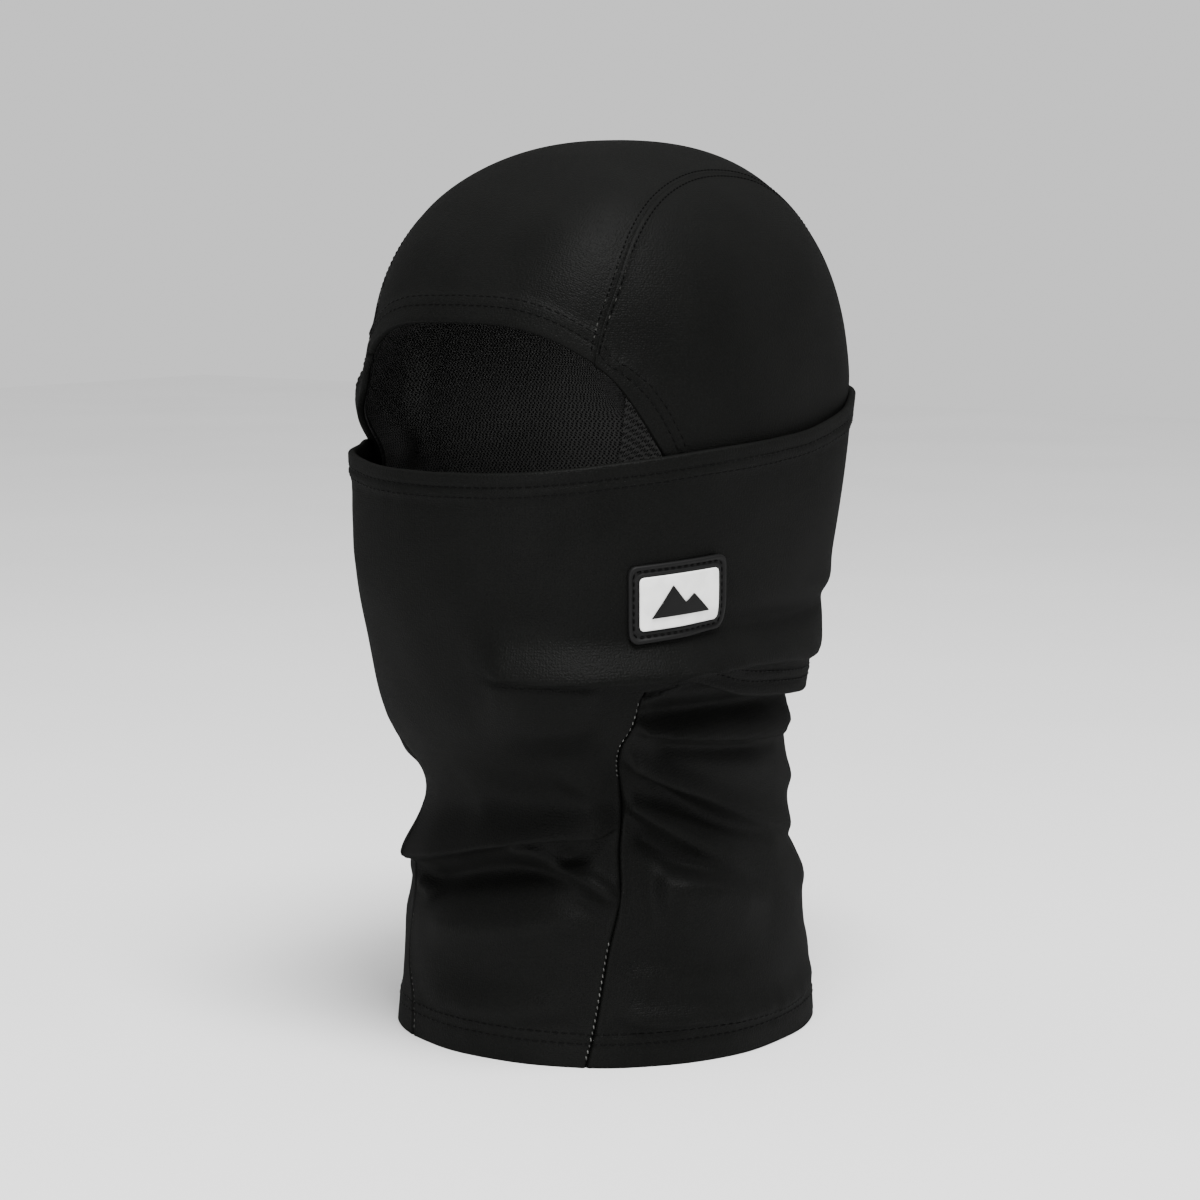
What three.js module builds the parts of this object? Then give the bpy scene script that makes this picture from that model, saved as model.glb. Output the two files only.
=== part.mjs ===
import * as THREE from 'three';

// Hinged winter balaclava, worn shape, millimetres, +Z up, face towards -Y.
// The lower edge of the neck stands on the plane z = 0.

// Overall sizes
const BROW_HALF_WIDTH = 79.3;
const BROW_HALF_DEPTH = 98.4;
const BROW_HEIGHT = 224;
const CROWN_RISE = 95;

// Roundness of the form: 2 is an ellipse, larger is fuller
const PLAN_ROUNDNESS = 2.2;
const CROWN_ROUNDNESS = 2.35;
const ARCH_PASSAGE = 0.03; // how gently the crown's middle passes into its sides, as a share of the arch

// Cloth
const MASK_THICKNESS = 1.8;
const HOOD_THICKNESS = 1.6;
const LINING_THICKNESS = 0.8;
const LAYER_GAP = 0.3;
const LINING_GAP = 0.9;
const SEAM_GAP = 0.3;
const THREAD_RADIUS = 0.25;

// How far the hood lies inside the mask's face: the mask, a thread and their gaps
const MASK_EASE = MASK_THICKNESS + 2 * THREAD_RADIUS + 2 * LAYER_GAP + 0.1;

// Panels
const CROWN_STRIP_FRONT = 0.609 * BROW_HALF_WIDTH;
const CROWN_STRIP_TOP = 0.911 * CROWN_STRIP_FRONT;
const CROWN_STRIP_NAPE = 0.952 * CROWN_STRIP_FRONT;
const CROWN_STRIP_HEM = 0.719 * BROW_HALF_WIDTH;
const MASK_TOP_FRONT = 0.912 * BROW_HEIGHT;
const STEM_TOP = 0.586 * BROW_HEIGHT;
const OPENING_HALF_WIDTH = 0.832 * BROW_HALF_WIDTH;
const STEM_TOP_HALF_WIDTH = 0.738 * BROW_HALF_WIDTH;
const STEM_HEM_HALF_WIDTH = 0.4855 * BROW_HALF_WIDTH;
const OPENING_TOP = 1.1366 * BROW_HEIGHT;

// Sewing
const HEM_ROW_NEAR = 4.2;
const HEM_ROW_FAR = 7.9;
const OPENING_ROW_NEAR = 6;
const OPENING_ROW_FAR = 9.5;
const CROWN_ROW_START = OPENING_ROW_FAR + 4;
const CROWN_ROW_OFFSET = 1.6;
const NECK_ROW_CLEARANCE = 0.4;
const CROWN_ROW_SPACING = 3;
const BOTTOM_ROW_LOW = 8.4;
const BOTTOM_ROW_HIGH = 11.9;

// Badge on the wearer's left cheek
const BADGE_WIDTH = 39;
const BADGE_HEIGHT = 26;
const BADGE_CORNER = 3;
const BADGE_THICKNESS = 1.6;
const BADGE_TILT = 4;
const BADGE_ANGLE = 61.8;
const BADGE_HEIGHT_ABOVE_HEM = 0.7272 * BROW_HEIGHT;

const CLOTH = { color: 0x232422, roughness: 0.9, metalness: 0 };
const MESH_CLOTH = { color: 0x151513, roughness: 0.95, metalness: 0 };
const THREAD = { color: 0x3a3a38, roughness: 0.7, metalness: 0 };
const SEAM_THREAD = { color: 0xb9b9b4, roughness: 0.7, metalness: 0 };
const RUBBER = { color: 0x1a1a1a, roughness: 0.55, metalness: 0 };
const PRINT = { color: 0xebebe8, roughness: 0.5, metalness: 0 };

// Level sections of the form: height, half-width, half-depth (shares of the brow's) and centre Y
const SECTIONS = [
  [0.0, 0.908, 0.758, 1.5],
  [0.107, 0.889, 0.744, 1.0],
  [0.25, 0.852, 0.713, 0.0],
  [0.4, 0.777, 0.675, 0.5],
  [0.51, 0.852, 0.783, -7.0],
  [0.607, 0.908, 0.867, -5.4],
  [0.737, 0.957, 0.937, -4.8],
  [0.884, 0.991, 0.985, -1.0],
  [1.0, 1.0, 1.0, 1.0],
].map(([z, a, b, y]) => [z * BROW_HEIGHT, a * BROW_HALF_WIDTH, b * BROW_HALF_DEPTH, y]);

// Face opening edge of the hood, half of it: x and height
const OPENING_EDGE = [
  [0, 1.1366],
  [0.362 * CROWN_STRIP_FRONT, 1.1344],
  [0.563 * CROWN_STRIP_FRONT, 1.1272],
  [0.778 * CROWN_STRIP_FRONT, 1.1098],
  [CROWN_STRIP_FRONT, 1.079],
  [lerp(CROWN_STRIP_FRONT, OPENING_HALF_WIDTH, 0.373), 1.0495],
  [lerp(CROWN_STRIP_FRONT, OPENING_HALF_WIDTH, 0.616), 1.0152],
  [lerp(CROWN_STRIP_FRONT, OPENING_HALF_WIDTH, 0.814), 0.9732],
  [lerp(CROWN_STRIP_FRONT, OPENING_HALF_WIDTH, 0.955), 0.92],
  [OPENING_HALF_WIDTH, 0.86],
  [lerp(STEM_TOP_HALF_WIDTH, OPENING_HALF_WIDTH, 0.87), 0.77],
  [lerp(STEM_TOP_HALF_WIDTH, OPENING_HALF_WIDTH, 0.53), 0.67],
  [STEM_TOP_HALF_WIDTH + 0.8, 0.586],
].map(([x, z]) => [x, z * BROW_HEIGHT]);
const OPENING_SEAM_POINT = 4;

// Upper and lower edge of the mask against the angle from the front, degrees
const MASK_UPPER = [
  [0, 0.912],
  [22, 0.9165],
  [48, 0.932],
  [70, 0.9465],
  [92, 0.9585],
  [116, 0.9857],
  [135, 1.01],
  [180, 1.02],
].map(([angle, z]) => [angle, z * BROW_HEIGHT]);
const MASK_LOWER = [
  [0, 0.586],
  [54, 0.586],
  [66, 0.598],
  [84, 0.5685],
  [110, 0.55],
  [145, 0.54],
  [180, 0.538],
].map(([angle, z]) => [angle, z * BROW_HEIGHT]);

// Half-width of the stem, the part of the mask panel that runs down the throat
const STEM_HALF = [
  [0, STEM_HEM_HALF_WIDTH],
  [0.18 * BROW_HEIGHT, 1.13 * STEM_HEM_HALF_WIDTH],
  [0.34 * BROW_HEIGHT, 1.13 * STEM_HEM_HALF_WIDTH],
  [0.45 * BROW_HEIGHT, 1.21 * STEM_HEM_HALF_WIDTH],
  [STEM_TOP, STEM_TOP_HALF_WIDTH],
];

const CROWN_BACK_HALF = [
  [0, CROWN_STRIP_HEM],
  [0.4 * BROW_HEIGHT, CROWN_STRIP_NAPE + 1],
  [BROW_HEIGHT, CROWN_STRIP_NAPE],
];

const degrees = Math.PI / 180;

function lerp(low, high, share) {
  return low + (high - low) * share;
}

function clamp(value, low, high) {
  return Math.min(high, Math.max(low, value));
}

function smoothStep(low, high, value) {
  const share = clamp((value - low) / (high - low), 0, 1);
  return share * share * (3 - 2 * share);
}

// Smooth curve through rows of [position, value, ...], read at one position
function readCurve(rows, position, column = 1) {
  const last = rows.length - 1;
  const p = clamp(position, rows[0][0], rows[last][0]);
  let i = 0;
  while (i < last - 1 && p > rows[i + 1][0]) {
    i += 1;
  }
  const slope = (k) => {
    const low = rows[Math.max(k - 1, 0)];
    const high = rows[Math.min(k + 1, last)];
    return (high[column] - low[column]) / (high[0] - low[0]);
  };
  const span = rows[i + 1][0] - rows[i][0];
  const t = (p - rows[i][0]) / span;
  const startSlope = slope(i);
  const endSlope = i + 1 === last && rows.flatEnd ? 0 : slope(i + 1);
  return (
    (2 * t ** 3 - 3 * t ** 2 + 1) * rows[i][column] +
    (t ** 3 - 2 * t ** 2 + t) * span * startSlope +
    (-2 * t ** 3 + 3 * t ** 2) * rows[i + 1][column] +
    (t ** 3 - t ** 2) * span * endSlope
  );
}
SECTIONS.flatEnd = true;

// Level section of the form, taken in by depth
function sectionAt(z, depth) {
  return {
    a: readCurve(SECTIONS, z, 1) - depth,
    b: readCurve(SECTIONS, z, 2) - depth,
    y: readCurve(SECTIONS, z, 3),
  };
}

// The hood lies under the mask's band and comes flush with it at the neck
function hoodDepth(z) {
  return MASK_EASE * smoothStep(0.42 * BROW_HEIGHT, 0.5 * BROW_HEIGHT, z);
}

// Point on the form at a height and an angle from the front, left side positive
function onSection(z, angle, depth) {
  const s = sectionAt(z, depth);
  const power = 2 / PLAN_ROUNDNESS;
  const sine = Math.sin(angle);
  const cosine = Math.cos(angle);
  const x = s.a * Math.sign(sine) * Math.abs(sine) ** power;
  const y = s.y - s.b * Math.sign(cosine) * Math.abs(cosine) ** power;
  return new THREE.Vector3(x, y, z);
}

// Angle from the front at which the level section has half-width x
function angleOf(x, z, depth) {
  const { a } = sectionAt(z, depth);
  const share = clamp(Math.abs(x) / a, 0, 1);
  return Math.sign(x) * Math.asin(share ** (PLAN_ROUNDNESS / 2));
}

function domeSizes(depth) {
  return {
    a: BROW_HALF_WIDTH - depth,
    b: BROW_HALF_DEPTH - depth,
    c: CROWN_RISE - depth,
    y: SECTIONS[SECTIONS.length - 1][3],
  };
}

// 1 on the dome, less inside; the arguments are measured from its centre
function domeMeasure(x, y, z, depth) {
  const { a, b, c } = domeSizes(depth);
  const plan = Math.abs(x / a) ** PLAN_ROUNDNESS + Math.abs(y / b) ** PLAN_ROUNDNESS;
  const sum = plan ** (CROWN_ROUNDNESS / PLAN_ROUNDNESS) + Math.abs(z / c) ** CROWN_ROUNDNESS;
  return sum ** (1 / CROWN_ROUNDNESS);
}

// Nearest place on the form in line with the head's middle; depth may follow the height
function onForm(point, depthAt) {
  const depth = depthAt(point.z);
  if (point.z <= BROW_HEIGHT) {
    const s = sectionAt(point.z, depth);
    const plan =
      Math.abs(point.x / s.a) ** PLAN_ROUNDNESS + Math.abs((point.y - s.y) / s.b) ** PLAN_ROUNDNESS;
    const scale = plan ** (-1 / PLAN_ROUNDNESS);
    return new THREE.Vector3(point.x * scale, s.y + (point.y - s.y) * scale, point.z);
  }
  const { y } = domeSizes(depth);
  const rise = point.z - BROW_HEIGHT;
  const scale = 1 / domeMeasure(point.x, point.y - y, rise, depth);
  return new THREE.Vector3(point.x * scale, y + (point.y - y) * scale, BROW_HEIGHT + rise * scale);
}

// Point on the dome at a distance x from the middle plane; turn is 0 at the front, pi at the back
function onArch(x, turn, depth) {
  const { b, c, y } = domeSizes(depth);
  let low = 0;
  let high = 1.3;
  for (let i = 0; i < 34; i += 1) {
    const middle = (low + high) / 2;
    const inside = domeMeasure(x, b * middle * Math.cos(turn), c * middle * Math.sin(turn), depth) < 1;
    if (inside) {
      low = middle;
    } else {
      high = middle;
    }
  }
  // The strip's middle is held to a plain oval arch, with an easy passage to the fuller sides
  const passage = ARCH_PASSAGE * Math.sin(2 * turn) ** 2 + 1e-4;
  const over = low - 1;
  const reach = 1 + over - passage * Math.log(1 + Math.exp(Math.min(over / passage, 60)));
  return new THREE.Vector3(x, y - b * reach * Math.cos(turn), BROW_HEIGHT + c * reach * Math.sin(turn));
}

// Half-width of the crown strip over the dome
function crownHalf(turn) {
  const share = turn / Math.PI;
  if (share < 0.5) {
    return lerp(1.04 * CROWN_STRIP_FRONT, CROWN_STRIP_TOP, smoothStep(0.14, 0.5, share));
  }
  return lerp(CROWN_STRIP_TOP, CROWN_STRIP_NAPE, smoothStep(0.5, 1, share));
}

// Distance of the crown seam from the middle plane, share of the way from brow to nape
function crownSeamX(turn, share) {
  return lerp(CROWN_STRIP_FRONT, crownHalf(turn), smoothStep(0, 0.15, share));
}

// Turn over the dome at which the arch at x has a given height on its front
function turnAtHeight(x, z, depth) {
  let low = 0;
  let high = Math.PI / 2;
  for (let i = 0; i < 30; i += 1) {
    const middle = (low + high) / 2;
    if (onArch(x, middle, depth).z < z) {
      low = middle;
    } else {
      high = middle;
    }
  }
  return low;
}

// Height of the opening's edge above the brow at x, on the crown strip
function openingHeight(x) {
  return readCurve(OPENING_EDGE.slice(0, OPENING_SEAM_POINT + 2), Math.abs(x));
}

// Half-width of the opening at a height, on the side panels
const OPENING_SIDE = OPENING_EDGE.slice(OPENING_SEAM_POINT)
  .map(([x, z]) => [z, x])
  .reverse();

function openingHalf(z) {
  return readCurve(OPENING_SIDE, z);
}

// Closed sheet between an outer and an inner grid of points
function makeSheet(pointAt, columns, rows, outer, thickness) {
  const positions = [];
  const faces = [];
  const stride = columns + 1;
  const layer = stride * (rows + 1);
  for (const inset of [0, thickness]) {
    for (let r = 0; r <= rows; r += 1) {
      for (let c = 0; c <= columns; c += 1) {
        const p = pointAt(c / columns, r / rows, (z) => outer(z) + inset);
        positions.push(p.x, p.y, p.z);
      }
    }
  }
  const quad = (a, b, c, d) => faces.push(a, b, c, a, c, d);
  const outerAt = (c, r) => r * stride + c;
  const innerAt = (c, r) => layer + r * stride + c;
  for (let r = 0; r < rows; r += 1) {
    for (let c = 0; c < columns; c += 1) {
      quad(outerAt(c, r), outerAt(c + 1, r), outerAt(c + 1, r + 1), outerAt(c, r + 1));
      quad(innerAt(c, r), innerAt(c, r + 1), innerAt(c + 1, r + 1), innerAt(c + 1, r));
    }
    quad(outerAt(0, r + 1), innerAt(0, r + 1), innerAt(0, r), outerAt(0, r));
    quad(outerAt(columns, r), innerAt(columns, r), innerAt(columns, r + 1), outerAt(columns, r + 1));
  }
  for (let c = 0; c < columns; c += 1) {
    quad(outerAt(c, 0), innerAt(c, 0), innerAt(c + 1, 0), outerAt(c + 1, 0));
    quad(outerAt(c + 1, rows), innerAt(c + 1, rows), innerAt(c, rows), outerAt(c, rows));
  }
  return closedGeometry(positions, faces);
}

// Geometry from points and faces, turned so that it faces outwards
function closedGeometry(positions, faces) {
  const at = (i) => new THREE.Vector3().fromArray(positions, 3 * i);
  let volume = 0;
  for (let i = 0; i < faces.length; i += 3) {
    volume += at(faces[i]).dot(at(faces[i + 1]).cross(at(faces[i + 2])));
  }
  const ordered = volume < 0 ? faces.slice().reverse() : faces;
  const geometry = new THREE.BufferGeometry();
  geometry.setAttribute('position', new THREE.Float32BufferAttribute(positions, 3));
  geometry.setIndex(ordered);
  geometry.computeVertexNormals();
  return geometry;
}

// Round thread along a list of points, closed into a ring or with flat ends
function makeThread(points, ring, sides = 4) {
  const positions = [];
  const faces = [];
  const count = points.length;
  const middle = new THREE.Vector3(0, 0, 0.55 * BROW_HEIGHT);
  points.forEach((point, i) => {
    const before = ring ? points[(i + count - 1) % count] : points[Math.max(i - 1, 0)];
    const after = ring ? points[(i + 1) % count] : points[Math.min(i + 1, count - 1)];
    const along = after.clone().sub(before).normalize();
    const out = point.clone().sub(middle);
    out.addScaledVector(along, -out.dot(along)).normalize();
    const across = along.clone().cross(out);
    for (let k = 0; k < sides; k += 1) {
      const turn = (2 * Math.PI * (k + 0.5)) / sides;
      const p = point.clone();
      p.addScaledVector(out, THREAD_RADIUS * Math.cos(turn));
      p.addScaledVector(across, THREAD_RADIUS * Math.sin(turn));
      positions.push(p.x, p.y, p.z);
    }
  });
  const lengths = ring ? count : count - 1;
  for (let i = 0; i < lengths; i += 1) {
    const here = i * sides;
    const next = ((i + 1) % count) * sides;
    for (let k = 0; k < sides; k += 1) {
      const k2 = (k + 1) % sides;
      faces.push(here + k, here + k2, next + k2, here + k, next + k2, next + k);
    }
  }
  if (!ring) {
    const end = (count - 1) * sides;
    for (let k = 1; k < sides - 1; k += 1) {
      faces.push(0, k + 1, k, end, end + k, end + k + 1);
    }
  }
  return closedGeometry(positions, faces);
}

// Points from 0 to 1 along a path, evenly counted
function pathPoints(steps, pointAt) {
  return Array.from({ length: steps + 1 }, (_, i) => pointAt(i / steps));
}

function outwardsAt(point, depthAt) {
  const reach = 1;
  const surface = onForm(point, depthAt);
  const along = onForm(point.clone().add(new THREE.Vector3(-surface.y, surface.x, 0).setLength(reach)), depthAt);
  const above = onForm(point.clone().add(new THREE.Vector3(0, 0, reach)), depthAt);
  const normal = along.sub(surface).cross(above.sub(surface)).normalize();
  const outwards = surface.clone().sub(new THREE.Vector3(0, 0, 0.7 * BROW_HEIGHT));
  return normal.dot(outwards) < 0 ? normal.negate() : normal;
}

function named(name, geometry, finish) {
  const mesh = new THREE.Mesh(geometry, new THREE.MeshStandardMaterial(finish));
  mesh.name = name;
  return mesh;
}

function mirrored(geometry) {
  const copy = geometry.clone();
  copy.scale(-1, 1, 1);
  const index = Array.from(copy.index.array).reverse();
  copy.setIndex(index);
  copy.computeVertexNormals();
  return copy;
}

// Shares of the grids' rows over the dome and on the wall
const CROWN_DOME_SHARE = 0.6;
const SIDE_WALL_SHARE = 0.7;
const SIDE_STEM_SHARE = 4 / 7;
const STEM_ROWS = 12;

// Strip from the brow over the head and down the back to the hem
function crownPoint(u, v, depthAt, foot, inset) {
  const side = 2 * u - 1;
  const domeShare = CROWN_DOME_SHARE;
  const topDepth = depthAt(BROW_HEIGHT);
  if (v <= domeShare) {
    const edge = (CROWN_STRIP_FRONT - SEAM_GAP / 2) * side;
    const start = turnAtHeight(edge, openingHeight(edge) + inset, topDepth);
    const turn = lerp(start, Math.PI, v / domeShare);
    const half = crownSeamX(turn, v / domeShare) - SEAM_GAP / 2;
    return onArch(side * half, turn, topDepth);
  }
  const z = lerp(BROW_HEIGHT, foot, (v - domeShare) / (1 - domeShare));
  const x = side * (readCurve(CROWN_BACK_HALF, z) - SEAM_GAP / 2);
  const depth = depthAt(z);
  return onSection(z, Math.PI - angleOf(x, z, depth), depth);
}

// Side of the hood, wearer's left
function sidePoint(u, v, depthAt, foot, inset) {
  const wallShare = SIDE_WALL_SHARE;
  const wallTop = 0.946 * BROW_HEIGHT;
  const wall = (z, share) => {
    const depth = depthAt(z);
    const front = z > STEM_TOP ? openingHalf(z) + inset : readCurve(STEM_HALF, z) + SEAM_GAP / 2;
    const start = angleOf(front, z, depth);
    const end = Math.PI - angleOf(readCurve(CROWN_BACK_HALF, z) + SEAM_GAP / 2, z, depth);
    return onSection(z, lerp(start, end, share), depth);
  };
  if (v <= wallShare) {
    const split = foot < STEM_TOP ? SIDE_STEM_SHARE : 0;
    const share = v / wallShare;
    const low = lerp(foot, STEM_TOP, share / split);
    const high = lerp(Math.max(foot, STEM_TOP), wallTop, (share - split) / (1 - split));
    return wall(share < split ? low : high, u);
  }
  const rise = (v - wallShare) / (1 - wallShare);
  const depth = depthAt(BROW_HEIGHT);
  const base = wall(wallTop, u);
  const start = turnAtHeight(CROWN_STRIP_FRONT, OPENING_EDGE[OPENING_SEAM_POINT][1] + inset, depth);
  const turn = lerp(start, Math.PI, u);
  const seam = onArch(crownSeamX(turn, u) + SEAM_GAP / 2, turn, depth);
  const edgeZ = lerp(wallTop, seam.z, rise);
  const chord = lerp(openingHalf(wallTop), CROWN_STRIP_FRONT, rise);
  const bulge = (openingHalf(edgeZ) - chord) * (1 - u) ** 3;
  const rough = base.lerp(seam, rise);
  rough.x += bulge;
  return onForm(rough, depthAt);
}

function makeCrownPanel() {
  const point = (u, v, depthAt) => crownPoint(u, v, depthAt, 0, 0);
  return makeSheet(point, 12, 35, hoodDepth, HOOD_THICKNESS);
}

function makeSidePanel() {
  const point = (u, v, depthAt) => sidePoint(u, v, depthAt, 0, 0);
  return makeSheet(point, 16, 30, hoodDepth, HOOD_THICKNESS);
}

function liningDepth() {
  return MASK_EASE + HOOD_THICKNESS + LINING_GAP;
}

function makeCrownLining() {
  const point = (u, v, depthAt) => crownPoint(u, v, depthAt, STEM_TOP, 3);
  return makeSheet(point, 12, 20, liningDepth, LINING_THICKNESS);
}

function makeSideLining() {
  const point = (u, v, depthAt) => sidePoint(u, v, depthAt, STEM_TOP + 1, 2);
  return makeSheet(point, 14, 20, liningDepth, LINING_THICKNESS);
}

// Lower edge of the mask, level where the stem hangs from it
function maskLower(turn) {
  const edge = readCurve(MASK_LOWER, turn);
  return turn < 58 ? Math.max(edge, STEM_TOP) : edge;
}

// Band of the mask all the way round, its ends meeting behind the head
function makeMaskPanel() {
  const backGap = SEAM_GAP / 2 / BROW_HALF_DEPTH;
  const point = (u, v, depthAt) => {
    const angle = lerp(-Math.PI + backGap, Math.PI - backGap, u);
    const turn = Math.abs(angle) / degrees;
    const low = maskLower(turn) + SEAM_GAP / 2;
    const z = lerp(low, readCurve(MASK_UPPER, turn), v);
    return onSection(z, angle, depthAt(z));
  };
  return makeSheet(point, 60, 7, () => 0, MASK_THICKNESS);
}

// Front of the neck, which folds down under the dropped mask
function makeMaskStem() {
  const point = (u, v, depthAt) => {
    const z = lerp(0, STEM_TOP - SEAM_GAP / 2, v);
    const half = readCurve(STEM_HALF, z) - SEAM_GAP / 2;
    const angle = angleOf(half, z, depthAt(z)) * (2 * u - 1);
    return onSection(z, angle, depthAt(z));
  };
  return makeSheet(point, 14, STEM_ROWS, () => 0, HOOD_THICKNESS);
}

// Threads lie just clear of the cloth, and clear of the step in it at the neck
function threadLift(depthAt) {
  return (z) => depthAt(z - 0.02 * BROW_HEIGHT) - LAYER_GAP - THREAD_RADIUS;
}

// Rows of stitching round the face opening, from one neck seam up and over to the other
function makeOpeningRow(distance) {
  const lift = threadLift((z) => hoodDepth(z) - 0.1);
  const edge = new THREE.CatmullRomCurve3(
    OPENING_EDGE.map(([x, z]) => new THREE.Vector3(x, 0, z)),
    false,
    'centripetal',
  );
  const half = pathPoints(34, (share) => {
    const place = (s) => {
      const p = edge.getPointAt(clamp(s, 0, 1));
      if (p.z > BROW_HEIGHT) {
        return onArch(p.x, turnAtHeight(p.x, p.z, MASK_EASE), MASK_EASE);
      }
      return onSection(p.z, angleOf(p.x, p.z, lift(p.z)), lift(p.z));
    };
    const s = share * 0.965;
    const point = place(s);
    const along = place(s + 0.004).sub(place(s - 0.004)).normalize();
    if (s === 0) {
      along.set(1, 0, 0);
    }
    const aside = along.cross(outwardsAt(point, lift)).normalize();
    const away = aside.z + aside.x < 0 ? aside.negate() : aside;
    return onForm(point.addScaledVector(away, distance), lift);
  });
  const other = half
    .slice(1)
    .map((p) => new THREE.Vector3(-p.x, p.y, p.z))
    .reverse();
  return makeThread(other.concat(half), false);
}

// Rows beside the crown seam, wearer's left
function makeCrownRow(offset) {
  const lift = threadLift(hoodDepth);
  const topDepth = lift(BROW_HEIGHT);
  const start = turnAtHeight(CROWN_STRIP_FRONT, OPENING_EDGE[OPENING_SEAM_POINT][1] + CROWN_ROW_START, topDepth);
  const over = pathPoints(26, (share) => {
    const turn = lerp(start, Math.PI, share);
    return onArch(crownSeamX(turn, share) + offset, turn, topDepth);
  });
  const down = pathPoints(24, (share) => {
    const z = lerp(BROW_HEIGHT, BOTTOM_ROW_HIGH + 2.5, share);
    const depth = lift(z);
    return onSection(z, Math.PI - angleOf(readCurve(CROWN_BACK_HALF, z) + offset, z, depth), depth);
  });
  return makeThread(over.concat(down.slice(1)), false);
}

function makeMaskTopRow(distance) {
  const lift = threadLift(() => 0);
  const steps = 60;
  const points = pathPoints(steps, (share) => {
    const angle = 2 * Math.PI * share;
    const turn = Math.abs(share > 0.5 ? 360 * (1 - share) : 360 * share);
    const z = readCurve(MASK_UPPER, turn) - distance;
    return onSection(z, angle, lift(z));
  });
  return makeThread(points.slice(0, steps), true);
}

function makeMaskLowerRow(distance) {
  const lift = threadLift(() => 0);
  const start = 60;
  const points = pathPoints(44, (share) => {
    const turn = lerp(start, 360 - start, share);
    const z = maskLower(turn > 180 ? 360 - turn : turn) + distance;
    return onSection(z, turn * degrees, lift(z));
  });
  return makeThread(points, false);
}

function makeBackSeamRow() {
  const lift = threadLift(() => 0);
  const low = maskLower(180) + HEM_ROW_FAR + 2;
  const high = readCurve(MASK_UPPER, 180) - HEM_ROW_FAR - 2;
  const aside = 2 / BROW_HALF_DEPTH;
  const points = pathPoints(9, (share) => {
    const z = lerp(low, high, share);
    return onSection(z, Math.PI - aside, lift(z));
  });
  return makeThread(points, false);
}

// Row on the stem beside the neck seam, wearer's left
function makeNeckSeamRow() {
  const lift = threadLift(() => -NECK_ROW_CLEARANCE);
  const points = pathPoints(20, (share) => {
    const z = lerp(BOTTOM_ROW_HIGH + 2.5, STEM_TOP - 4, share);
    const depth = lift(z);
    return onSection(z, angleOf(readCurve(STEM_HALF, z) - 1.6, z, depth), depth);
  });
  return makeThread(points, false);
}

function makeBottomRow(height) {
  const lift = threadLift(() => 0);
  const steps = 56;
  const points = pathPoints(steps, (share) => onSection(height, 2 * Math.PI * share, lift(height)));
  return makeThread(points.slice(0, steps), true);
}

// Badge places: across and up from its middle, on the cheek
function badgePlace(across, up, depth) {
  const centre = onSection(BADGE_HEIGHT_ABOVE_HEM, BADGE_ANGLE * degrees, depth);
  const depthAt = () => depth;
  const normal = outwardsAt(centre, depthAt);
  const level = new THREE.Vector3(0, 0, 1).cross(normal).normalize();
  const rising = normal.clone().cross(level).normalize();
  const tilt = BADGE_TILT * degrees;
  const p = centre.clone();
  p.addScaledVector(level, across * Math.cos(tilt) - up * Math.sin(tilt));
  p.addScaledVector(rising, across * Math.sin(tilt) + up * Math.cos(tilt));
  return onForm(p, depthAt);
}

function roundedRectangle(width, height, corner, perCorner) {
  const points = [];
  const centres = [
    [1, 1],
    [-1, 1],
    [-1, -1],
    [1, -1],
  ];
  centres.forEach(([sx, sy], quarter) => {
    for (let i = 0; i <= perCorner; i += 1) {
      const turn = (quarter + i / perCorner) * (Math.PI / 2);
      const x = sx * (width / 2 - corner) + corner * Math.cos(turn);
      const y = sy * (height / 2 - corner) + corner * Math.sin(turn);
      points.push([x, y]);
    }
  });
  return points;
}

// Outline with its long edges cut into lengths, so that it can bend
function divided(outline, longest) {
  return outline.flatMap(([x, y], i) => {
    const [nextX, nextY] = outline[(i + 1) % outline.length];
    const parts = Math.max(1, Math.ceil(Math.hypot(nextX - x, nextY - y) / longest));
    return Array.from({ length: parts }, (_, k) => [lerp(x, nextX, k / parts), lerp(y, nextY, k / parts)]);
  });
}

// Plate with a given outline, bent to the cheek, between two levels above it
function makePlate(corners, low, high, rings = 3) {
  const outline = divided(corners, BADGE_FACET);
  const positions = [];
  const faces = [];
  const count = outline.length;
  const layer = count * rings + 1;
  for (const level of [high, low]) {
    const centre = outline.reduce((sum, p) => [sum[0] + p[0] / count, sum[1] + p[1] / count], [0, 0]);
    for (let ring = rings; ring > 0; ring -= 1) {
      for (const [x, y] of outline) {
        const share = ring / rings;
        const p = badgePlace(lerp(centre[0], x, share), lerp(centre[1], y, share), -level);
        positions.push(p.x, p.y, p.z);
      }
    }
    const p = badgePlace(centre[0], centre[1], -level);
    positions.push(p.x, p.y, p.z);
  }
  for (let k = 0; k < count; k += 1) {
    const next = (k + 1) % count;
    for (let ring = 0; ring < rings - 1; ring += 1) {
      const a = ring * count + k;
      const b = ring * count + next;
      faces.push(a, b, b + count, a, b + count, a + count);
      faces.push(layer + a, layer + b + count, layer + b, layer + a, layer + a + count, layer + b + count);
    }
    const inner = (rings - 1) * count;
    faces.push(inner + k, inner + next, layer - 1);
    faces.push(layer + inner + next, layer + inner + k, 2 * layer - 1);
    faces.push(k, layer + next, next, k, layer + k, layer + next);
  }
  return closedGeometry(positions, faces);
}

const BADGE_FACET = 5.5;
const BADGE_LIFT = LAYER_GAP;
const BADGE_TOP = BADGE_LIFT + BADGE_THICKNESS;
const PRINT_THICKNESS = 0.5;
const FIELD_WIDTH = BADGE_WIDTH - 8;
const FIELD_HEIGHT = BADGE_HEIGHT - 8;

function makeBadgeBase() {
  return makePlate(roundedRectangle(BADGE_WIDTH, BADGE_HEIGHT, BADGE_CORNER, 3), BADGE_LIFT, BADGE_TOP, 3);
}

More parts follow.
